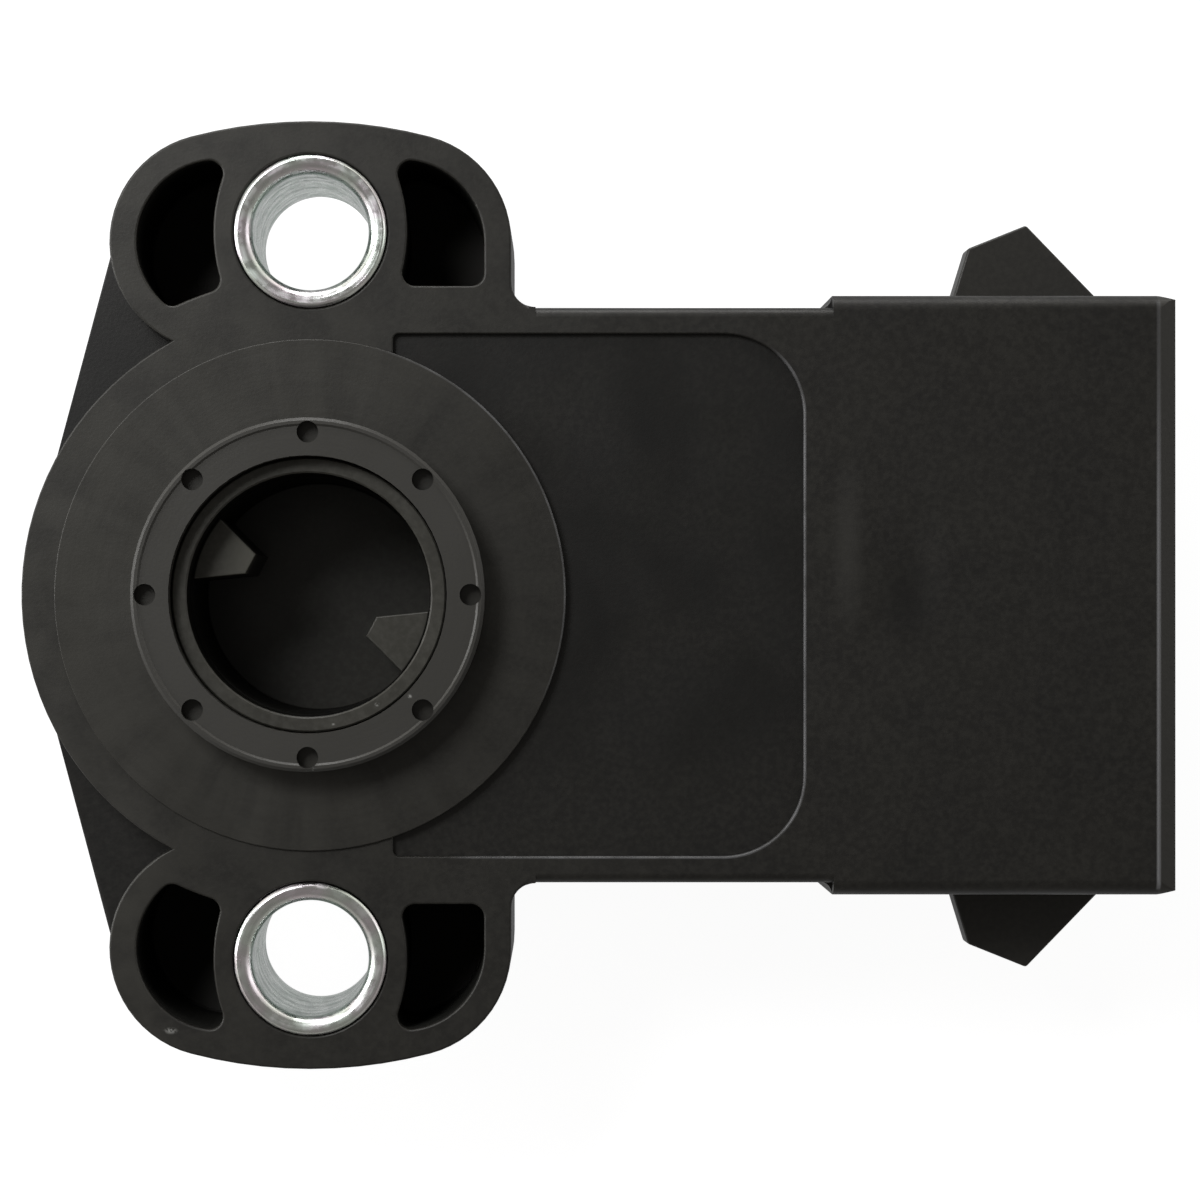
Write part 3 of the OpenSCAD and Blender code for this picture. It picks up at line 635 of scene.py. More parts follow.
        # Painted sheen: paler radial streaks stand for the light that the turned face mirrors
        radial_sheen = paint.speckle(self.sheen_size, 6.0, (
            paint.chain("MULTIPLY", paint.angle, self.sheen_spread),
            paint.chain("MULTIPLY", paint.radius, self.sheen_run)))
        # The tone also paints light: paler towards the key lamp and darker towards the socket
        tone = paint.mask(Step(marks, 0.25, 0.75, 0.65, 0.95), Step(radial_sheen, 0.32, 0.68, 0.25, 1.0),
                          Step(x, self.brightest_x, self.socket_x, 1.0, 0.25))
        paint.layer(paint.chain("MULTIPLY", face, tone), self.turned)
        paint.relief.append(paint.chain("MULTIPLY", marks, self.turn_depth, face))
        gloss = paint.chain("MULTIPLY", face, self.turn_gloss)
        paint.rough = paint.chain("SUBTRACT", paint.rough, gloss)

    def sink_wall(self, paint: Paint) -> None:
        """The skin over the thick wall behind the terminals: a swell and a sink in its relief, with a
        painted highlight on the swell and painted shade in the sink.

        Args:
            paint: The material so far.
        """
        # Painted highlight on the swell and painted shade in the sink
        paint.layer(paint.patches(self.highlit_swells), self.sink_highlight)
        paint.layer(paint.patches(self.shaded_sinks), self.sink_shade)
        paint.relief.append(paint.chain("MULTIPLY", paint.patches(self.sinks), -self.sink_depth))

    def rub_and_highlight(self, paint: Paint) -> None:
        """The collar's paler top, the painted highlights along the lip's start and the corners, and the
        rubbed ramps.

        Args:
            paint: The material so far.
        """
        x, y, up = paint.axes
        # The collar's top is painted paler
        paint.layer(paint.mask(Step(up, *self.collar_z, 0.0, 0.9)), self.rubbed_and_sheen)
        # Painted highlight: a bright line where the lip starts, strongest towards the bottom, and the
        # painted highlights on the corners
        line = paint.mask(Step(paint.gap(x, self.lip_x), *self.lip_reach, 0.8, 0.0),
                          Step(y, *self.lip_y, 1.0, 0.25), Step(up, *self.frame_z))
        paint.layer(paint.chain("MAXIMUM", line, self.corners(paint)), self.edge_highlight)
        paint.layer(paint.mask(
            Step(x, self.socket_x - self.edge, self.socket_x + self.edge),
            Step(paint.gap(y), self.socket_half, self.socket_half + self.ramp_rise, 0.0, 0.35)),
            self.rubbed_and_sheen)

    def corners(self, paint: Paint) -> Socket:
        """A mask for the painted highlights on the corners: the disc's, towards the socket, and the
        recess's end.

        Args:
            paint: The material so far.

        Returns:
            The mask's socket.
        """
        x, y, up = paint.axes
        side = paint.add("ShaderNodeVectorMath", {"operation": "DOT_PRODUCT"}, {
            0: paint.place, 1: (*self.shine_way, 0.0)})
        ring = paint.mask(
            Step(paint.gap(paint.radius, self.disc_r - self.edge), *self.disc_reach, 1.0, 0.0),
            Step(up, *self.disc_side_z), Step(side.outputs["Value"], *self.shine_from, 0.0, 0.4))
        # The recess's outline runs round its far corners
        far = paint.outside((self.recess_end - self.recess_corner, self.recess_half - self.recess_corner))
        low = self.frame_z[0]
        line = paint.mask(
            Step(paint.gap(far, self.recess_corner + self.edge), *self.recess_reach, 1.0, 0.0),
            Step(up, low - 2 * self.edge, low))
        run = paint.chain("MAXIMUM", paint.mask(Step(x, *self.recess_x, 0.0, 0.5)),
                          paint.mask(Step(y, *self.low_y, 0.35, 0.0), Step(x, *self.low_x)))
        # The painted highlight comes and goes in patches along the corner
        lit_patch = paint.mask(Step(paint.speckle(self.highlight_break, 3.0), 0.3, 0.6, 0.45, 1.0))
        both = paint.chain("MAXIMUM", ring, paint.chain("MULTIPLY", line, run))
        return paint.chain("MULTIPLY", both, lit_patch)

    def shade_pockets(self, paint: Paint) -> None:
        """Pockets and inner walls, which see little light: they get a painted shade and lose their mirror.

        Args:
            paint: The material so far.
        """
        _, y, up = paint.axes
        start, end = (self.pocket_r + more for more in self.pocket_edge)
        inside = paint.mask(Step(up, *self.mouth_z, 1.0, 0.0),
                            Step(paint.outside((self.pocket_x, self.pocket_y)), start, end, 1.0, 0.0),
                            Step(paint.gap(y), *self.ear_y))
        paint.layer(inside, self.shaded)
        thick, bare = (self.pocket_z + more for more in self.dust_rise)
        dust = paint.mask(Step(up, thick, bare, 1.0, 0.0))
        paint.layer(paint.chain("MULTIPLY", inside, dust), self.dusty)
        self.darken(paint, inside)


@dataclass(frozen=True)
class RotorPlastic(MouldedPlastic):
    """The rotor's polished skin.

    The eye gets a cup whose deep wall and floor stay dark, as no room light falls on them,
    and a rim with a few bright specks.

    Attributes:
        cup_r: Radius of the cup.
        rim_z: Height of the cup's rim.
        lug_z: Height of the drive lugs' fronts.
        floor_z: Heights between which the floor's tone ends.
        floor_shade_x: Where the floor's painted shadow is darkest along X, and where it is lightest.
        left_x: Where the painted light on the left lug starts along X, and where it is full.
        right_x: Where that painted light starts to fade towards the right lug, and where it is least.
        cup_shade: Colour of the painted shade on the cup's wall and floor.
        lit_patch: Colour of the painted light on the lugs' fronts, which leaves painted shadow near the
            cup's wall.
    """

    cup_r: float = 6.0
    rim_z: float = 1.0
    lug_z: float = LUG_Z
    floor_z: Span = (-2.0, -1.5)
    floor_shade_x: Span = (-4.5, 0.0)
    left_x: Span = (-5.0, -2.6)
    right_x: Span = (-1.0, 0.0)
    cup_shade: str = "#0f0f0e"
    lit_patch: str = "#57564f"
    nicks: tuple[Mark, ...] = (
        Mark(3.36, -5.38, 1.0, 0.32, 0.26, 1.0),
        Mark(1.2, -6.35, 1.0, 0.25, 0.18, 0.7),
    )

    def cover(self, paint: Paint) -> None:
        """The rotor's skin, with painted shade in the cup and painted light on the left lug's front.

        Args:
            paint: The material so far.
        """
        super().cover(paint)
        x, _, up = paint.axes
        # Painted shade: the cup's wall is painted dark, as no room light reaches it
        wall = paint.mask(Step(paint.radius, self.cup_r - 0.2, self.cup_r - 0.1, 0.0, 0.95),
                          Step(paint.radius, self.cup_r + 0.05, self.cup_r + 0.1, 1.0, 0.0),
                          Step(up, self.rim_z - 0.3, self.rim_z - 0.1, 1.0, 0.0))
        # Painted shadow: the floor is painted darkest on its left side, which the cup's rim shades from
        # the key lamp
        deep = paint.mask(Step(up, *self.floor_z, 1.0, 0.0), Step(x, *self.floor_shade_x, 0.85, 0.5))
        paint.layer(paint.chain("MAXIMUM", wall, deep), self.cup_shade)
        # Painted light on the left lug's front, with painted shadow near the cup's wall
        paint.layer(paint.mask(
            Step(up, self.lug_z - 0.3, self.lug_z - 0.1),
            Step(paint.radius, self.cup_r - 0.15, self.cup_r - 0.1, 1.0, 0.0),
            Step(x, *self.left_x, 0.2, 1.0), Step(x, *self.right_x, 1.0, 0.1)), self.lit_patch)
        self.nick(paint)
        self.darken(paint, wall)


@dataclass(frozen=True)
class BareMetal(Finish):
    """A metal whose gloss varies a little from place to place.

    Attributes:
        metallic: 1, as for any metal.
        spot: Size of the varying patches.
        brighter: How much smoother the brightest patches are.
        duller: How much rougher the dullest ones are.
    """

    metallic: float = 1.0
    spot: float = 0.3
    brighter: float = 0.08
    duller: float = 0.12

    def cover(self, paint: Paint) -> None:
        """The uneven gloss."""
        low, high = self.roughness - self.brighter, self.roughness + self.duller
        paint.rough = paint.mask(Step(paint.speckle(self.spot, 4.0), 0.3, 0.7, low, high))


@dataclass(frozen=True)
class ZincPlate(BareMetal):
    """Turned steel with bright zinc plating.

    The eye gets a pale metal, faintly green and violet, with fine rings from the lathe
    tool and small duller spots in the plating.

    Attributes:
        spot: Size of the duller spots.
        green: Colour of the plating's greener film.
        violet: Colour of its more violet film.
        film: Size of a patch of film.
        ring: Distance between turning rings.
        ring_depth: Depth of a ring.
        drift: How far the rings' pattern moves on in one radian.
        bore_r: Radius of the bore.
        bore_edge: Width over which the bore's plating turns into the flats'.
        coarse: How many times coarser the boring tool's rings are.
        coarse_depth: Depth of those rings.
        fresh: Colour in the bore, where nothing has touched the plating.
        shade: Colour between the bore's coarser rings.
    """

    spot: float = 0.7
    green: str = "#d6dfd9"
    violet: str = "#ddd6dd"
    film: float = 2.2
    ring: float = 0.16
    ring_depth: float = 0.012
    drift: float = 0.25
    bore_r: float = BORE_R
    bore_edge: float = 0.15
    coarse: float = 4.0
    coarse_depth: float = 0.03
    fresh: str = "#eef6f1"
    shade: str = "#a7b4ad"

    def cover(self, paint: Paint) -> None:
        """Films and turning rings about the sleeve's own axis.

        Args:
            paint: The material so far.
        """
        super().cover(paint)
        # Rings on the flats run with the radius and in the bore with the height
        way = (paint.chain("SUBTRACT", paint.radius, paint.axes[2]),
               paint.chain("MULTIPLY", paint.angle, self.drift))
        rings = paint.speckle(self.ring, 3.0, way)
        paint.colour = srgb(self.green)
        paint.layer(paint.mask(Step(paint.speckle(self.film), 0.35, 0.65)), self.violet)
        paint.layer(paint.mask(Step(rings, 0.45, 0.7, 0.0, 0.75)), self.colour)
        # The boring tool left coarser rings, and the plating is greener in the bore
        bore = paint.mask(Step(paint.radius, self.bore_r, self.bore_r + self.bore_edge, 1.0, 0.0))
        coarse = paint.speckle(self.ring * self.coarse, 2.0, way)
        paint.layer(paint.chain("MULTIPLY", bore, 0.7), self.fresh)
        dark = paint.mask(Step(coarse, 0.42, 0.58, 0.0, 0.7))
        paint.layer(paint.chain("MULTIPLY", bore, dark), self.shade)
        paint.relief += [paint.chain("MULTIPLY", rings, self.ring_depth),
                         paint.chain("MULTIPLY", bore, coarse, self.coarse_depth)]


@dataclass(frozen=True)
class PlainMetal(BareMetal):
    """Drawn wire, stamped strip or tin plate.

    The eye gets a metal whose gloss and height vary a little, as handled parts do.

    Attributes:
        depth: Depth of the uneven patches.
    """

    depth: float = 0.003

    def cover(self, paint: Paint) -> None:
        """The uneven gloss and height."""
        super().cover(paint)
        paint.relief.append(paint.chain("MULTIPLY", paint.speckle(self.spot, 4.0), self.depth))


@dataclass(frozen=True)
class PrintedBoard(Finish):
    """Ceramic-filled board with printed carbon tracks.

    The eye gets a matt green board, and smooth black tracks that stand a little above it.

    Attributes:
        track: Colour of the carbon ink.
        weave: Colour of the paler weave.
        weave_size: Size of a patch of the weave.
        ink_z: Heights between which the tracks' ink starts, just above the board's bare front.
        smooth: The tracks' roughness.
    """

    track: str = "#161617"
    weave: str = "#4f7a55"
    weave_size: float = 0.5
    ink_z: Span = (-11.795, -11.78)
    smooth: float = 0.3

    def cover(self, paint: Paint) -> None:
        """Board and tracks, told apart by their height.

        Args:
            paint: The material so far.
        """
        ink = paint.mask(Step(paint.axes[2], *self.ink_z))
        paint.layer(paint.mask(Step(paint.speckle(self.weave_size), 0.3, 0.7, 0.0, 0.3)), self.weave)
        paint.layer(ink, self.track)
        paint.rough = paint.mask(Step(ink, 0.0, 1.0, self.roughness, self.smooth))


@dataclass(frozen=True)
class PottedEpoxy(Finish):
    """Epoxy bead that cured where it ran.

    The eye gets a glossy near-black surface with a slow uneven swell.

    Attributes:
        swell: Width of a swell.
        height: Height of a swell.
    """

    swell: float = 1.6
    height: float = 0.12

    def cover(self, paint: Paint) -> None:
        """The swell."""
        paint.relief.append(paint.chain("MULTIPLY", paint.speckle(self.swell), self.height))


def dress(piece: bpy.types.Object, material: bpy.types.Material) -> None:
    """Puts one material on a whole piece.

    Args:
        piece: The piece to dress.
        material: Its material.
    """
    if not piece.material_slots:
        piece.data.materials.append(material)
    for place in piece.material_slots:
        place.material = material


@dataclass
class Piece:
    """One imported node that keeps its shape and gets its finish.

    Attributes:
        node: The node's name.
        body: The body that it moves with.
        finish: Its finish.
    """

    node: str
    body: str
    finish: Finish

    def source(self) -> bpy.types.Object:
        """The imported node's object."""
        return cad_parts[self.node]

    def build(self) -> bpy.types.Object:
        """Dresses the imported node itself.

        Returns:
            The node's object.
        """
        dress(self.source(), self.finish.build())
        return self.source()


@dataclass
class RoundedPiece(Piece):
    """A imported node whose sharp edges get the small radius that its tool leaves.

    Attributes:
        radius: Width of the rounding.
        segments: Faces across a rounding.
        corner: Smallest angle between two faces that counts as an edge, in degrees.
        sliver: Length under which an edge is a leftover and closes up.
        weld: Distance within which loose triangles share a corner.
        flat: Largest angle between two faces that are one flat face, in degrees.
        reach: How far the rounding may leave the node's surface, as a share of the radius.
    """

    radius: float = 0.1
    segments: int = 3
    corner: float = 35.0
    sliver: float = 0.018
    weld: float = 0.002
    flat: float = 0.5
    reach: float = 0.7

    def edge_share(self, edge: bmesh.types.BMEdge) -> float:
        """How much of the full radius an edge gets. With 0 its faces stay as they are."""
        return 1.0

    def merged(self) -> bpy.types.Mesh:
        """The node's mesh with its loose triangles joined and its flat faces whole.

        Returns:
            A new mesh with the rounding's share stored on each edge.
        """
        work = bmesh.new()
        work.from_mesh(self.source().data)
        for size in (self.weld, self.sliver):
            bmesh.ops.remove_doubles(work, verts=work.verts, dist=mm(size))
        if self.radius > 0:
            plain = [e for e in work.edges if self.edge_share(e) > 0]
            bmesh.ops.dissolve_limit(work, angle_limit=math.radians(self.flat), verts=work.verts,
                                     edges=plain, delimit=set())
        work.edges.ensure_lookup_table()
        limit = math.radians(self.corner)
        shares = {}
        for edge in work.edges:
            # An inner corner has a sharp root in the mould, so only outer ones are rounded
            if len(edge.link_faces) == 2 and edge.calc_face_angle_signed(0.0) > limit:
                pair = frozenset(v.index for v in edge.verts)
                shares[pair] = self.edge_share(edge)
        mesh = bpy.data.meshes.new(self.node + "_merged")
        mesh.from_pydata([v.co[:] for v in work.verts], [],
                         [[v.index for v in f.verts] for f in work.faces])
        work.free()
        weight = mesh.attributes.new("bevel_weight_edge", "FLOAT", "EDGE")
        for edge in mesh.edges:
            weight.data[edge.index].value = shares.get(frozenset(edge.vertices), 0.0)
        return mesh

    def build(self) -> bpy.types.Object:
        """Makes the rounded piece in the node's place.

        Returns:
            The new piece.
        """
        piece = bpy.data.objects.new(self.node + "_piece", self.merged())
        bpy.context.scene.collection.objects.link(piece)
        edge = piece.modifiers.new("edge", "BEVEL")
        edge.width = mm(self.radius)
        edge.segments = self.segments
        edge.limit_method = "WEIGHT"
        edge.use_clamp_overlap = False
        edge.miter_outer = "MITER_ARC"
        edge.loop_slide = False
        self.bake(piece)
        self.settle(piece.data)
        piece.data.shade_smooth()
        piece.data.set_sharp_from_angle(angle=math.radians(self.corner))
        self.crease(piece.data)
        flat = piece.modifiers.new("flat", "WEIGHTED_NORMAL")
        flat.keep_sharp = True
        return self.finished(piece)

    def crease(self, mesh: bpy.types.Mesh) -> None:
        """Marks shallow corners of the rounded mesh that stay crisp. A plain piece has none."""

    def settle(self, mesh: bpy.types.Mesh) -> None:
        """Puts any point that the rounding flung off the node's surface back on it.

        Args:
            mesh: The rounded mesh.
        """
        surface = bmesh.new()
        surface.from_mesh(self.source().data)
        tree = BVHTree.FromBMesh(surface)
        surface.free()
        for point in mesh.vertices:
            place, _, _, gap = tree.find_nearest(point.co)
            if gap > mm(self.reach * self.radius + self.weld):
                point.co = place

    def bake(self, piece: bpy.types.Object) -> None:
        """Turns a piece's modifiers into plain mesh.

        Args:
            piece: The piece with its modifiers.
        """
        graph = bpy.context.evaluated_depsgraph_get()
        mesh = bpy.data.meshes.new_from_object(piece.evaluated_get(graph))
        piece.modifiers.clear()
        piece.data = mesh

    def finished(self, piece: bpy.types.Object) -> bpy.types.Object:
        """Bakes a piece's modifiers, dresses it and puts it in the node's place.

        Args:
            piece: The piece with its modifiers.

        Returns:
            The same piece, plain.
        """
        self.bake(piece)
        piece.data.materials.clear()
        dress(piece, self.finish.build())
        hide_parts(self.node)
        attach(piece, self.body)
        return piece


@dataclass
class Housing(RoundedPiece):
    """The moulded housing. Its shallow steps have room for only part of the rounding.

    Attributes:
        disc_r: Radius of the raised round face.
        collar_z: Height above which the collar keeps its own bevels.
        lip_x: Where the socket's lip starts, which has its own taper.
        lip_room: How far before the lip its own taper already counts.
        joins_x: Where the neck meets the ears and the socket.
        join_room: How close to such a place a join's edges lie.
        corner_y: Distance from the middle at which those joins lie.
        recess_x: Where the recess's edges end along X.
        recess_y: Distance from the middle within which they lie.
        recess_z: Heights between which they lie.
        step_z: Heights between which the disc's step lies.
        step_room: How close to the step's radius its edges lie.
        crease_room: How close to the lip's start its points lie.
        step_share: Share of the rounding that fits the disc's step.
        recess_share: Share of it that fits the recess.
    """

    disc_r: float = DISC_R
    collar_z: float = 1.0
    lip_x: float = LIP_X
    lip_room: float = 0.3
    joins_x: tuple[float, ...] = (11.15, 25.6)
    join_room: float = 0.5
    corner_y: float = 13.7
    recess_x: float = 24.6
    recess_y: float = 13.1
    recess_z: Span = (-0.55, -0.1)
    step_z: Span = (-0.2, 0.05)
    step_room: float = 0.05
    crease_room: float = 0.02
    step_share: float = 0.45
    recess_share: float = 0.7

    def edge_share(self, edge: bmesh.types.BMEdge) -> float:
        """Small shares for the disc's step and the recess, and none for the collar's top.

        Args:
            edge: An edge of the merged mesh.

        Returns:
            A share from 0 to 1.
        """
        middle = (edge.verts[0].co + edge.verts[1].co) / 2
        radius, up = math.hypot(middle.x, middle.y), middle.z
        if up > mm(self.collar_z) or middle.x > mm(self.lip_x - self.lip_room):
            return 0.0
        if abs(middle.y) > mm(self.corner_y) and any(
                abs(middle.x - mm(x)) < mm(self.join_room) for x in self.joins_x):
            return 0.0
        low, high = (mm(z) for z in self.step_z)
        if abs(radius - mm(self.disc_r)) < mm(self.step_room) and low < up < high:
            return self.step_share
        low, high = (mm(z) for z in self.recess_z)
        if abs(middle.y) < mm(self.recess_y) and middle.x < mm(self.recess_x) and low < up < high:
            return self.recess_share
        return 1.0

    def crease(self, mesh: bpy.types.Mesh) -> None:
        """Keeps the shallow corner crisp where the socket's lip starts to taper.

        Args:
            mesh: The rounded mesh.
        """
        line = [abs(v.co.x - mm(self.lip_x)) < mm(self.crease_room) for v in mesh.vertices]
        name = "sharp_edge"
        sharp = mesh.attributes.get(name) or mesh.attributes.new(name, "BOOLEAN", "EDGE")
        for edge in mesh.edges:
            if line[edge.vertices[0]] and line[edge.vertices[1]]:
                sharp.data[edge.index].value = True


@dataclass
class Rotor(RoundedPiece):
    """The rotor. Only its drive lugs are rounded, as the cup has its own bevels.

    Attributes:
        lug_z: Height of the lugs' tops.
        lug_r: Radius inside which the lugs' edges lie.
        lug_room: How close to the tops' height those edges lie.
    """

    lug_z: float = LUG_Z
    lug_r: float = 5.9
    lug_room: float = 0.03

    def edge_share(self, edge: bmesh.types.BMEdge) -> float:
        """Rounds the edges of the lugs' tops alone.

        Args:
            edge: An edge of the merged mesh.

        Returns:
            1 for those edges, and 0 for all others.
        """
        middle = (edge.verts[0].co + edge.verts[1].co) / 2
        inside = math.hypot(middle.x, middle.y) < mm(self.lug_r)
        level = all(abs(v.co.z - mm(self.lug_z)) < mm(self.lug_room) for v in edge.verts)
        return 1.0 if inside and level else 0.0


@dataclass
class TurnedSleeve(RoundedPiece):
    """A compression sleeve, revolved from its section with the lathe's rings in the metal.

    Attributes:
        axis_y: Where the sleeve's axis stands along Y.
        bore_r: Radius of the hole.
        outer_r: Outer radius.
        length: Length.
        bevel: Radius of the hole's rounded ends.
        edge: Size of the outer bevels.
        ring_depth: Depth of the rings.
        seed: Seed of the rings' pattern.
    """

    axis_y: float = 0.0
    bore_r: float = BORE_R
    outer_r: float = 3.8
    length: float = 9.0
    bevel: float = 0.6
    edge: float = 0.15
    ring_depth: float = 0.02
    seed: int = 3

    def section(self) -> bpy.types.Mesh:
        """The half section as a closed loop of edges, with radius as X and height as Z.

        Returns:
            The loop's mesh.
        """
        sink = self.ring_depth
        bore, outer = self.bore_r + sink, self.outer_r - sink
        top, low = -sink, sink - self.length
        turns = [math.radians(a) for a in range(0, 91, 15)]
        lead = [(bore + self.bevel * (1 - math.cos(a)), self.bevel * (1 - math.sin(a))) for a in turns]
        corners = [(r, top - drop) for r, drop in lead]
        corners += [(outer - self.edge, top), (outer, top - self.edge)]
        corners += [(outer, low + self.edge), (outer - self.edge, low)]
        corners += [(r, low + drop) for r, drop in reversed(lead)]
        mesh = bpy.data.meshes.new(self.node + "_section")
        count = len(corners)
        mesh.from_pydata([(mm(r), 0.0, mm(z)) for r, z in corners],
                         [(i, (i + 1) % count) for i in range(count)], [])
        return mesh

    def build(self) -> bpy.types.Object:
        """Revolves the section and puts the sleeve in its ear.

        Returns:
            The new piece.
        """
        piece = bpy.data.objects.new(self.node + "_piece", self.section())
        bpy.context.scene.collection.objects.link(piece)
        Lathe().apply(piece, {
            "Axis Y": mm(self.axis_y), "Ring Depth": mm(self.ring_depth), "Seed": float(self.seed)})
        done = self.finished(piece)
        work = bmesh.new()
        work.from_mesh(done.data)
        bmesh.ops.recalc_face_normals(work, faces=work.faces)
        if work.calc_volume(signed=True) < 0:
            bmesh.ops.reverse_faces(work, faces=work.faces)
        work.to_mesh(done.data)
        work.free()
        return done


@dataclass
class Lathe:
    """Node group that revolves a section about an upright axis and cuts fine rings in it.

    Attributes:
        along: Points along the section.
        around: Points round the axis.
        ring: Distance between rings.
        weld: Distance within which points join.
    """

    along: int = 320
    around: int = 112
    ring: float = 0.17
    weld: float = 0.0005

    def tree(self) -> bpy.types.NodeTree:
        """Builds the node group.

        Returns:
            The group, whose inputs are Axis Y, Ring Depth and Seed.
        """
        tree = bpy.data.node_groups.new("lathe", "GeometryNodeTree")
        tree.interface.new_socket("Geometry", in_out="INPUT", socket_type="NodeSocketGeometry")
        for name in ("Axis Y", "Ring Depth", "Seed"):
            tree.interface.new_socket(name, in_out="INPUT", socket_type="NodeSocketFloat")
        tree.interface.new_socket("Geometry", in_out="OUTPUT", socket_type="NodeSocketGeometry")
        net = Net(tree)
        given = net.add("NodeGroupInput").outputs
        curve = net.add("GeometryNodeMeshToCurve", inputs={"Mesh": given["Geometry"]})
        # One point of the grid for each place along the section and each place round the axis
        grid = net.add("GeometryNodeMeshGrid", inputs={
            "Size X": 1.0, "Size Y": 1.0, "Vertices X": self.along, "Vertices Y": self.around})
        where = net.add("GeometryNodeInputPosition").outputs["Position"]
        cell = net.add("ShaderNodeSeparateXYZ", inputs={"Vector": where}).outputs
        turn = net.chain("MULTIPLY", cell["Y"], math.tau)
        point = net.add("GeometryNodeSampleCurve", {"mode": "FACTOR"}, {
            "Curves": curve.outputs["Curve"], "Factor": net.chain("ADD", cell["X"], 0.5)})
        # The same place on the section gets the same ring all the way round
        wave = net.add("ShaderNodeTexNoise", {"noise_dimensions": "4D"}, {
            "Vector": point.outputs["Position"], "W": given["Seed"],
            "Scale": 1.0 / mm(self.ring), "Detail": 1.0})
        swing = net.add("ShaderNodeVectorMath", {"operation": "MULTIPLY_ADD"}, {
            0: wave.outputs["Color"], 1: (2.0, 0.0, 2.0), 2: (-1.0, 0.0, -1.0)})
        cut = net.add("ShaderNodeVectorMath", {"operation": "SCALE"}, {
            0: swing.outputs["Vector"], "Scale": given["Ring Depth"]})
        placed = net.add("ShaderNodeVectorMath", {"operation": "ADD"}, {
            0: point.outputs["Position"], 1: cut.outputs["Vector"]})
        part = net.add("ShaderNodeSeparateXYZ", inputs={"Vector": placed.outputs["Vector"]}).outputs
        side, deep = (net.chain("MULTIPLY", part["X"], net.chain(wheel, turn, 0.0))
                      for wheel in ("COSINE", "SINE"))
        spot = net.add("ShaderNodeCombineXYZ", inputs={
            "X": side, "Y": net.chain("ADD", deep, given["Axis Y"]), "Z": part["Z"]})
        shape = net.add("GeometryNodeSetPosition", inputs={
            "Geometry": grid.outputs["Mesh"], "Position": spot.outputs["Vector"]})
        for kind, inputs in (
                ("GeometryNodeMergeByDistance", {"Distance": mm(self.weld)}),
                ("GeometryNodeSetShadeSmooth", {}),
                ("GeometryNodeRealizeInstances", {}),
                ("GeometryNodeSetMaterial", {}),
                ("NodeGroupOutput", {})):
            shape = net.add(kind, inputs={"Geometry": shape.outputs["Geometry"], **inputs})
        return tree

    def apply(self, piece: bpy.types.Object, values: dict[str, float]) -> None:
        """Puts the group on a piece as a modifier.

        Args:
            piece: The piece that holds the section.
            values: Input name to value.
        """
        modifier = piece.modifiers.new("lathe", "NODES")
        modifier.node_group = self.tree()
        sockets = {s.name: s.identifier for s in modifier.node_group.interface.items_tree
                   if s.in_out == "INPUT"}
        for name, value in values.items():
            modifier[sockets[name]] = value
        piece.update_tag()


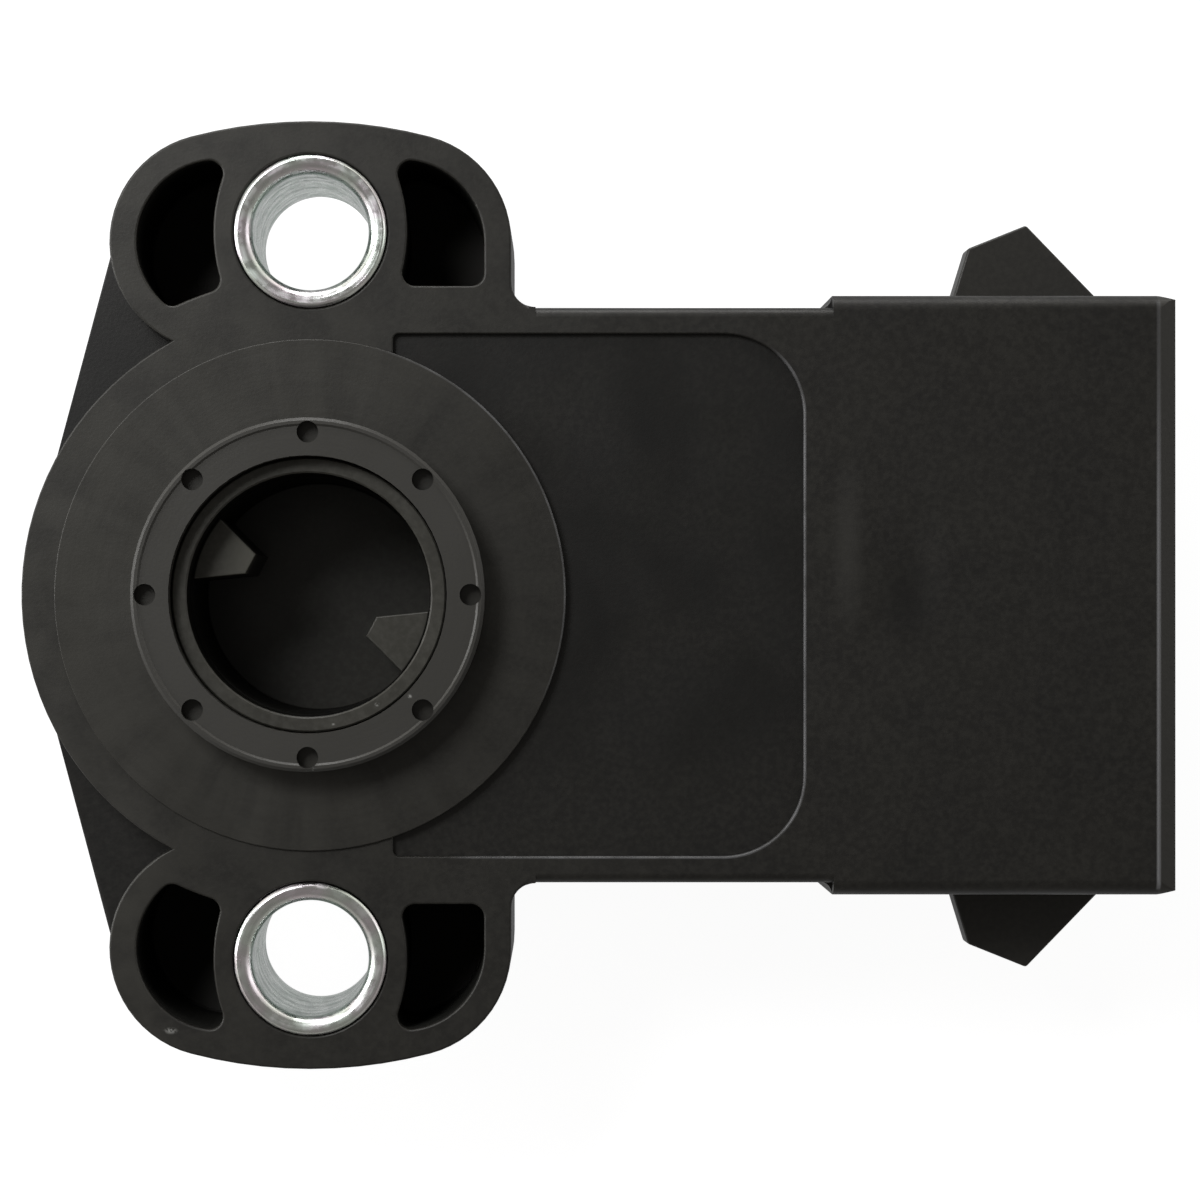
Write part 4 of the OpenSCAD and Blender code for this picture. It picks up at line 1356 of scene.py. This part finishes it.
@dataclass
class Studio:
    """Camera, lamps, floor and world.

    The photograph looks straight down at the mounting face from close by, so the camera
    stands over the object's middle and sees perspective in the sleeves and the cup.

    Attributes:
        eye_x: The camera's place along X.
        eye_y: The camera's place along Y.
        distance: Height of the camera above the mounting plane.
        span: Width of the picture in the mounting plane.
        chip_width: Width of the camera's sensor.
        shift_x: Sideways shift of the picture, as a share of its width.
        shift_y: Upward shift of the picture, as a share of its width.
        floor_z: Height of the floor, just under the part.
        floor_half: Half the floor's width.
        aim_x: Where the lamps point along X.
        glow: How white the floor looks to the camera.
        shine: How much of that glow the gloss on the part mirrors.
        far: How white the room looks to the camera. It matches the far floor, so no horizon shows.
        room: Strength of the even light from the room.
        wall: Least strength of the pale walls that gloss mirrors.
        window: Which way the window lies.
    """

    eye_x: float = 9.93
    eye_y: float = -1.33
    distance: float = 146.0
    span: float = 59.29
    chip_width: float = 36.0
    shift_x: float = 0.0742
    shift_y: float = 0.0183
    floor_z: float = -15.02
    floor_half: float = 3000.0
    aim_x: float = 10.0
    glow: float = 0.95
    shine: float = 0.45
    far: float = 0.955
    room: float = 0.07
    wall: float = 0.16
    window: tuple[float, float, float] = (-0.3, 0.95, 0.0)

    def camera(self) -> None:
        """Sets the camera over the part."""
        data = bpy.data.cameras.new("photo_camera")
        data.sensor_width = self.chip_width
        data.lens = self.chip_width * self.distance / self.span
        data.shift_x, data.shift_y = self.shift_x, self.shift_y
        data.clip_start, data.clip_end = 0.005, 20.0
        eye = bpy.data.objects.new("photo_camera", data)
        eye.location = (mm(self.eye_x), mm(self.eye_y), mm(self.distance))
        bpy.context.scene.collection.objects.link(eye)
        bpy.context.scene.camera = eye

    def lamp(self, name: str, place: Sequence[float], size: float, power: float) -> None:
        """Adds a soft square lamp that faces the part.

        Args:
            name: The lamp's name.
            place: Where it hangs.
            size: Its width.
            power: Its power in watts.
        """
        data = bpy.data.lights.new(name, "AREA")
        data.shape = "SQUARE"
        data.size = mm(size)
        data.energy = power
        lamp = bpy.data.objects.new(name, data)
        lamp.location = [mm(v) for v in place]
        aim = Vector((mm(self.aim_x), 0.0, 0.0)) - lamp.location
        lamp.rotation_euler = aim.to_track_quat("-Z", "Y").to_euler()
        bpy.context.scene.collection.objects.link(lamp)

    def floor(self) -> None:
        """Lays a white floor that keeps a faint shadow."""
        mesh = bpy.data.meshes.new("floor")
        half = mm(self.floor_half)
        corners = [(-half, -half), (half, -half), (half, half), (-half, half)]
        mesh.from_pydata([(x, y, mm(self.floor_z)) for x, y in corners], [], [(0, 1, 2, 3)])
        floor = bpy.data.objects.new("floor", mesh)
        bpy.context.scene.collection.objects.link(floor)
        material = bpy.data.materials.new("white_sweep")
        material.use_nodes = True
        material.node_tree.nodes.clear()
        net = Net(material.node_tree)
        path = net.add("ShaderNodeLightPath").outputs
        shine = net.chain("MULTIPLY", path["Is Glossy Ray"], self.shine)
        seen = net.chain("MAXIMUM", path["Is Camera Ray"], shine)
        paint = net.add("ShaderNodeBsdfDiffuse", inputs={"Color": srgb("#8c8c8c")})
        glow = net.add("ShaderNodeEmission", inputs={
            "Color": srgb("#ffffff"), "Strength": net.chain("MULTIPLY", seen, self.glow)})
        both = net.add("ShaderNodeAddShader", inputs={
            0: paint.outputs["BSDF"], 1: glow.outputs["Emission"]})
        # From under the bench the sweep is clear, so the back of the part can be seen
        under = net.add("ShaderNodeMixShader", inputs={
            "Fac": net.add("ShaderNodeNewGeometry").outputs["Backfacing"],
            1: both.outputs["Shader"], 2: net.add("ShaderNodeBsdfTransparent").outputs["BSDF"]})
        net.add("ShaderNodeOutputMaterial", inputs={"Surface": under.outputs["Shader"]})
        mesh.materials.append(material)

    def world(self) -> None:
        """Lights the room softly and shows it white to the camera."""
        world = bpy.data.worlds.new("studio")
        world.use_nodes = True
        world.node_tree.nodes.clear()
        net = Net(world.node_tree)
        path = net.add("ShaderNodeLightPath").outputs
        # Pale walls stand round the bench, brightest towards the window, and gloss mirrors them
        way = net.add("ShaderNodeTexCoord").outputs["Generated"]
        window = net.add("ShaderNodeVectorMath", {"operation": "DOT_PRODUCT"}, {0: way, 1: self.window})
        height = net.add("ShaderNodeSeparateXYZ", inputs={"Vector": way})
        walls = net.mask(Step(window.outputs["Value"], -0.6, 0.4, 0.15, 1.0),
                         Step(height.outputs["Z"], 0.1, 0.6, 1.3, 0.0))
        walls = net.chain("MULTIPLY", net.chain("ADD", walls, self.wall), path["Is Glossy Ray"])
        room = net.add("ShaderNodeBackground", inputs={
            "Color": srgb("#fffaf2"), "Strength": net.chain("ADD", walls, self.room)})
        white = net.add("ShaderNodeBackground", inputs={"Color": srgb("#ffffff"), "Strength": self.far})
        pick = net.add("ShaderNodeMixShader", inputs={
            "Fac": path["Is Camera Ray"], 1: room.outputs["Background"], 2: white.outputs["Background"]})
        net.add("ShaderNodeOutputWorld", inputs={"Surface": pick.outputs["Shader"]})
        bpy.context.scene.world = world

    def build(self) -> None:
        """Sets up the whole studio."""
        self.camera()
        self.lamp("key", (-90.0, 100.0, 160.0), 80.0, 0.24)
        self.lamp("left_rim", (-260.0, 40.0, 60.0), 130.0, 0.35)
        self.lamp("top_rim", (-20.0, 300.0, 60.0), 130.0, 0.4)
        self.lamp("right_fill", (300.0, 60.0, 110.0), 160.0, 0.08)
        self.floor()
        self.world()
        bpy.context.scene.view_settings.view_transform = "Standard"


@dataclass
class Sensor:
    """The whole sensor as the pieces that it comes apart into.

    Attributes:
        pieces: Every piece with its finish.
    """

    pieces: list[Piece] = field(default_factory=list)

    def __post_init__(self) -> None:
        """Lists the pieces from the front to the back."""
        black = HousingPlastic("housing_pbt_gf30", "housing_plastic", "#100f0e", 0.45, 0.35)
        cover = MouldedPlastic("cover_pbt_gf30", "housing_plastic", "#100f0e", 0.45, 0.35)
        cup = RotorPlastic("rotor_pbt_gf15", "rotor_plastic", "#35342f", 0.42, 0.35,
                           pale="#4c4b46", grain=Grain.POLISHED)
        tin = PlainMetal("tinned_brass", "tinned_brass", "#c9c7bd", 0.24)
        self.pieces = [
            Housing("housing", SENSOR_BODY, black, radius=0.12, sliver=0.03),
            *(TurnedSleeve(f"{side}_sleeve", SENSOR_BODY, ZincPlate(
                f"zinc_{side}", "zinc_steel", "#c2c9c4", 0.26, centre=(0.0, y)), axis_y=y, seed=seed)
              for side, y, seed in (("upper", HOLE_Y, 3), ("lower", -HOLE_Y, 8))),
            Rotor("rotor", TURNING_ROTOR, cup, radius=0.08),
            RoundedPiece("thrust_ring", TURNING_ROTOR, Finish(
                "ptfe", "ptfe", "#d9d6cc", 0.45), radius=0.05),
            RoundedPiece("wiper_brush", TURNING_ROTOR, PlainMetal(
                "nickel_silver_strip", "brush_alloy", "#cbb27a", 0.28), radius=0.02),
            *(Piece(node, SENSOR_BODY, PlainMetal(name, "spring_steel", "#8d9094", 0.3))
              for node, name in (("return_spring", "spring_wire"), ("wave_washer", "spring_strip"))),
            RoundedPiece("resistive_board", SENSOR_BODY, PrintedBoard(
                "printed_board", "board", "#2d5238", 0.55), radius=0.02),
            *(RoundedPiece(f"{pin}_terminal", SENSOR_BODY, tin, radius=0.05)
              for pin in ("supply", "signal", "ground")),
            RoundedPiece("solder_joints", SENSOR_BODY, PlainMetal(
                "solder", "tinned_brass", "#c4c6c4", 0.2), radius=0.03),
            RoundedPiece("rear_cover", SENSOR_BODY, cover, radius=0.1),
            RoundedPiece("sealing_bead", SENSOR_BODY, PottedEpoxy(
                "epoxy_bead", "epoxy", "#0c0c0e", 0.12), radius=0.1),
        ]

    def check(self) -> None:
        """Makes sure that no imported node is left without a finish."""
        left = set(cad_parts) - {piece.node for piece in self.pieces}
        if left:
            raise RuntimeError(f"no finish for {sorted(left)}")


def main() -> None:
    """Builds the studio and the sensor, and reports each piece."""
    logging.basicConfig(level=logging.INFO, format="%(name)s: %(message)s")
    Studio().build()
    log.info("studio set")
    sensor = Sensor()
    sensor.check()
    for piece in sensor.pieces:
        made = piece.build()
        log.info("%s has %d faces, in %s", made.name, len(made.data.polygons), piece.finish.name)


if __name__ == "__main__":
    main()
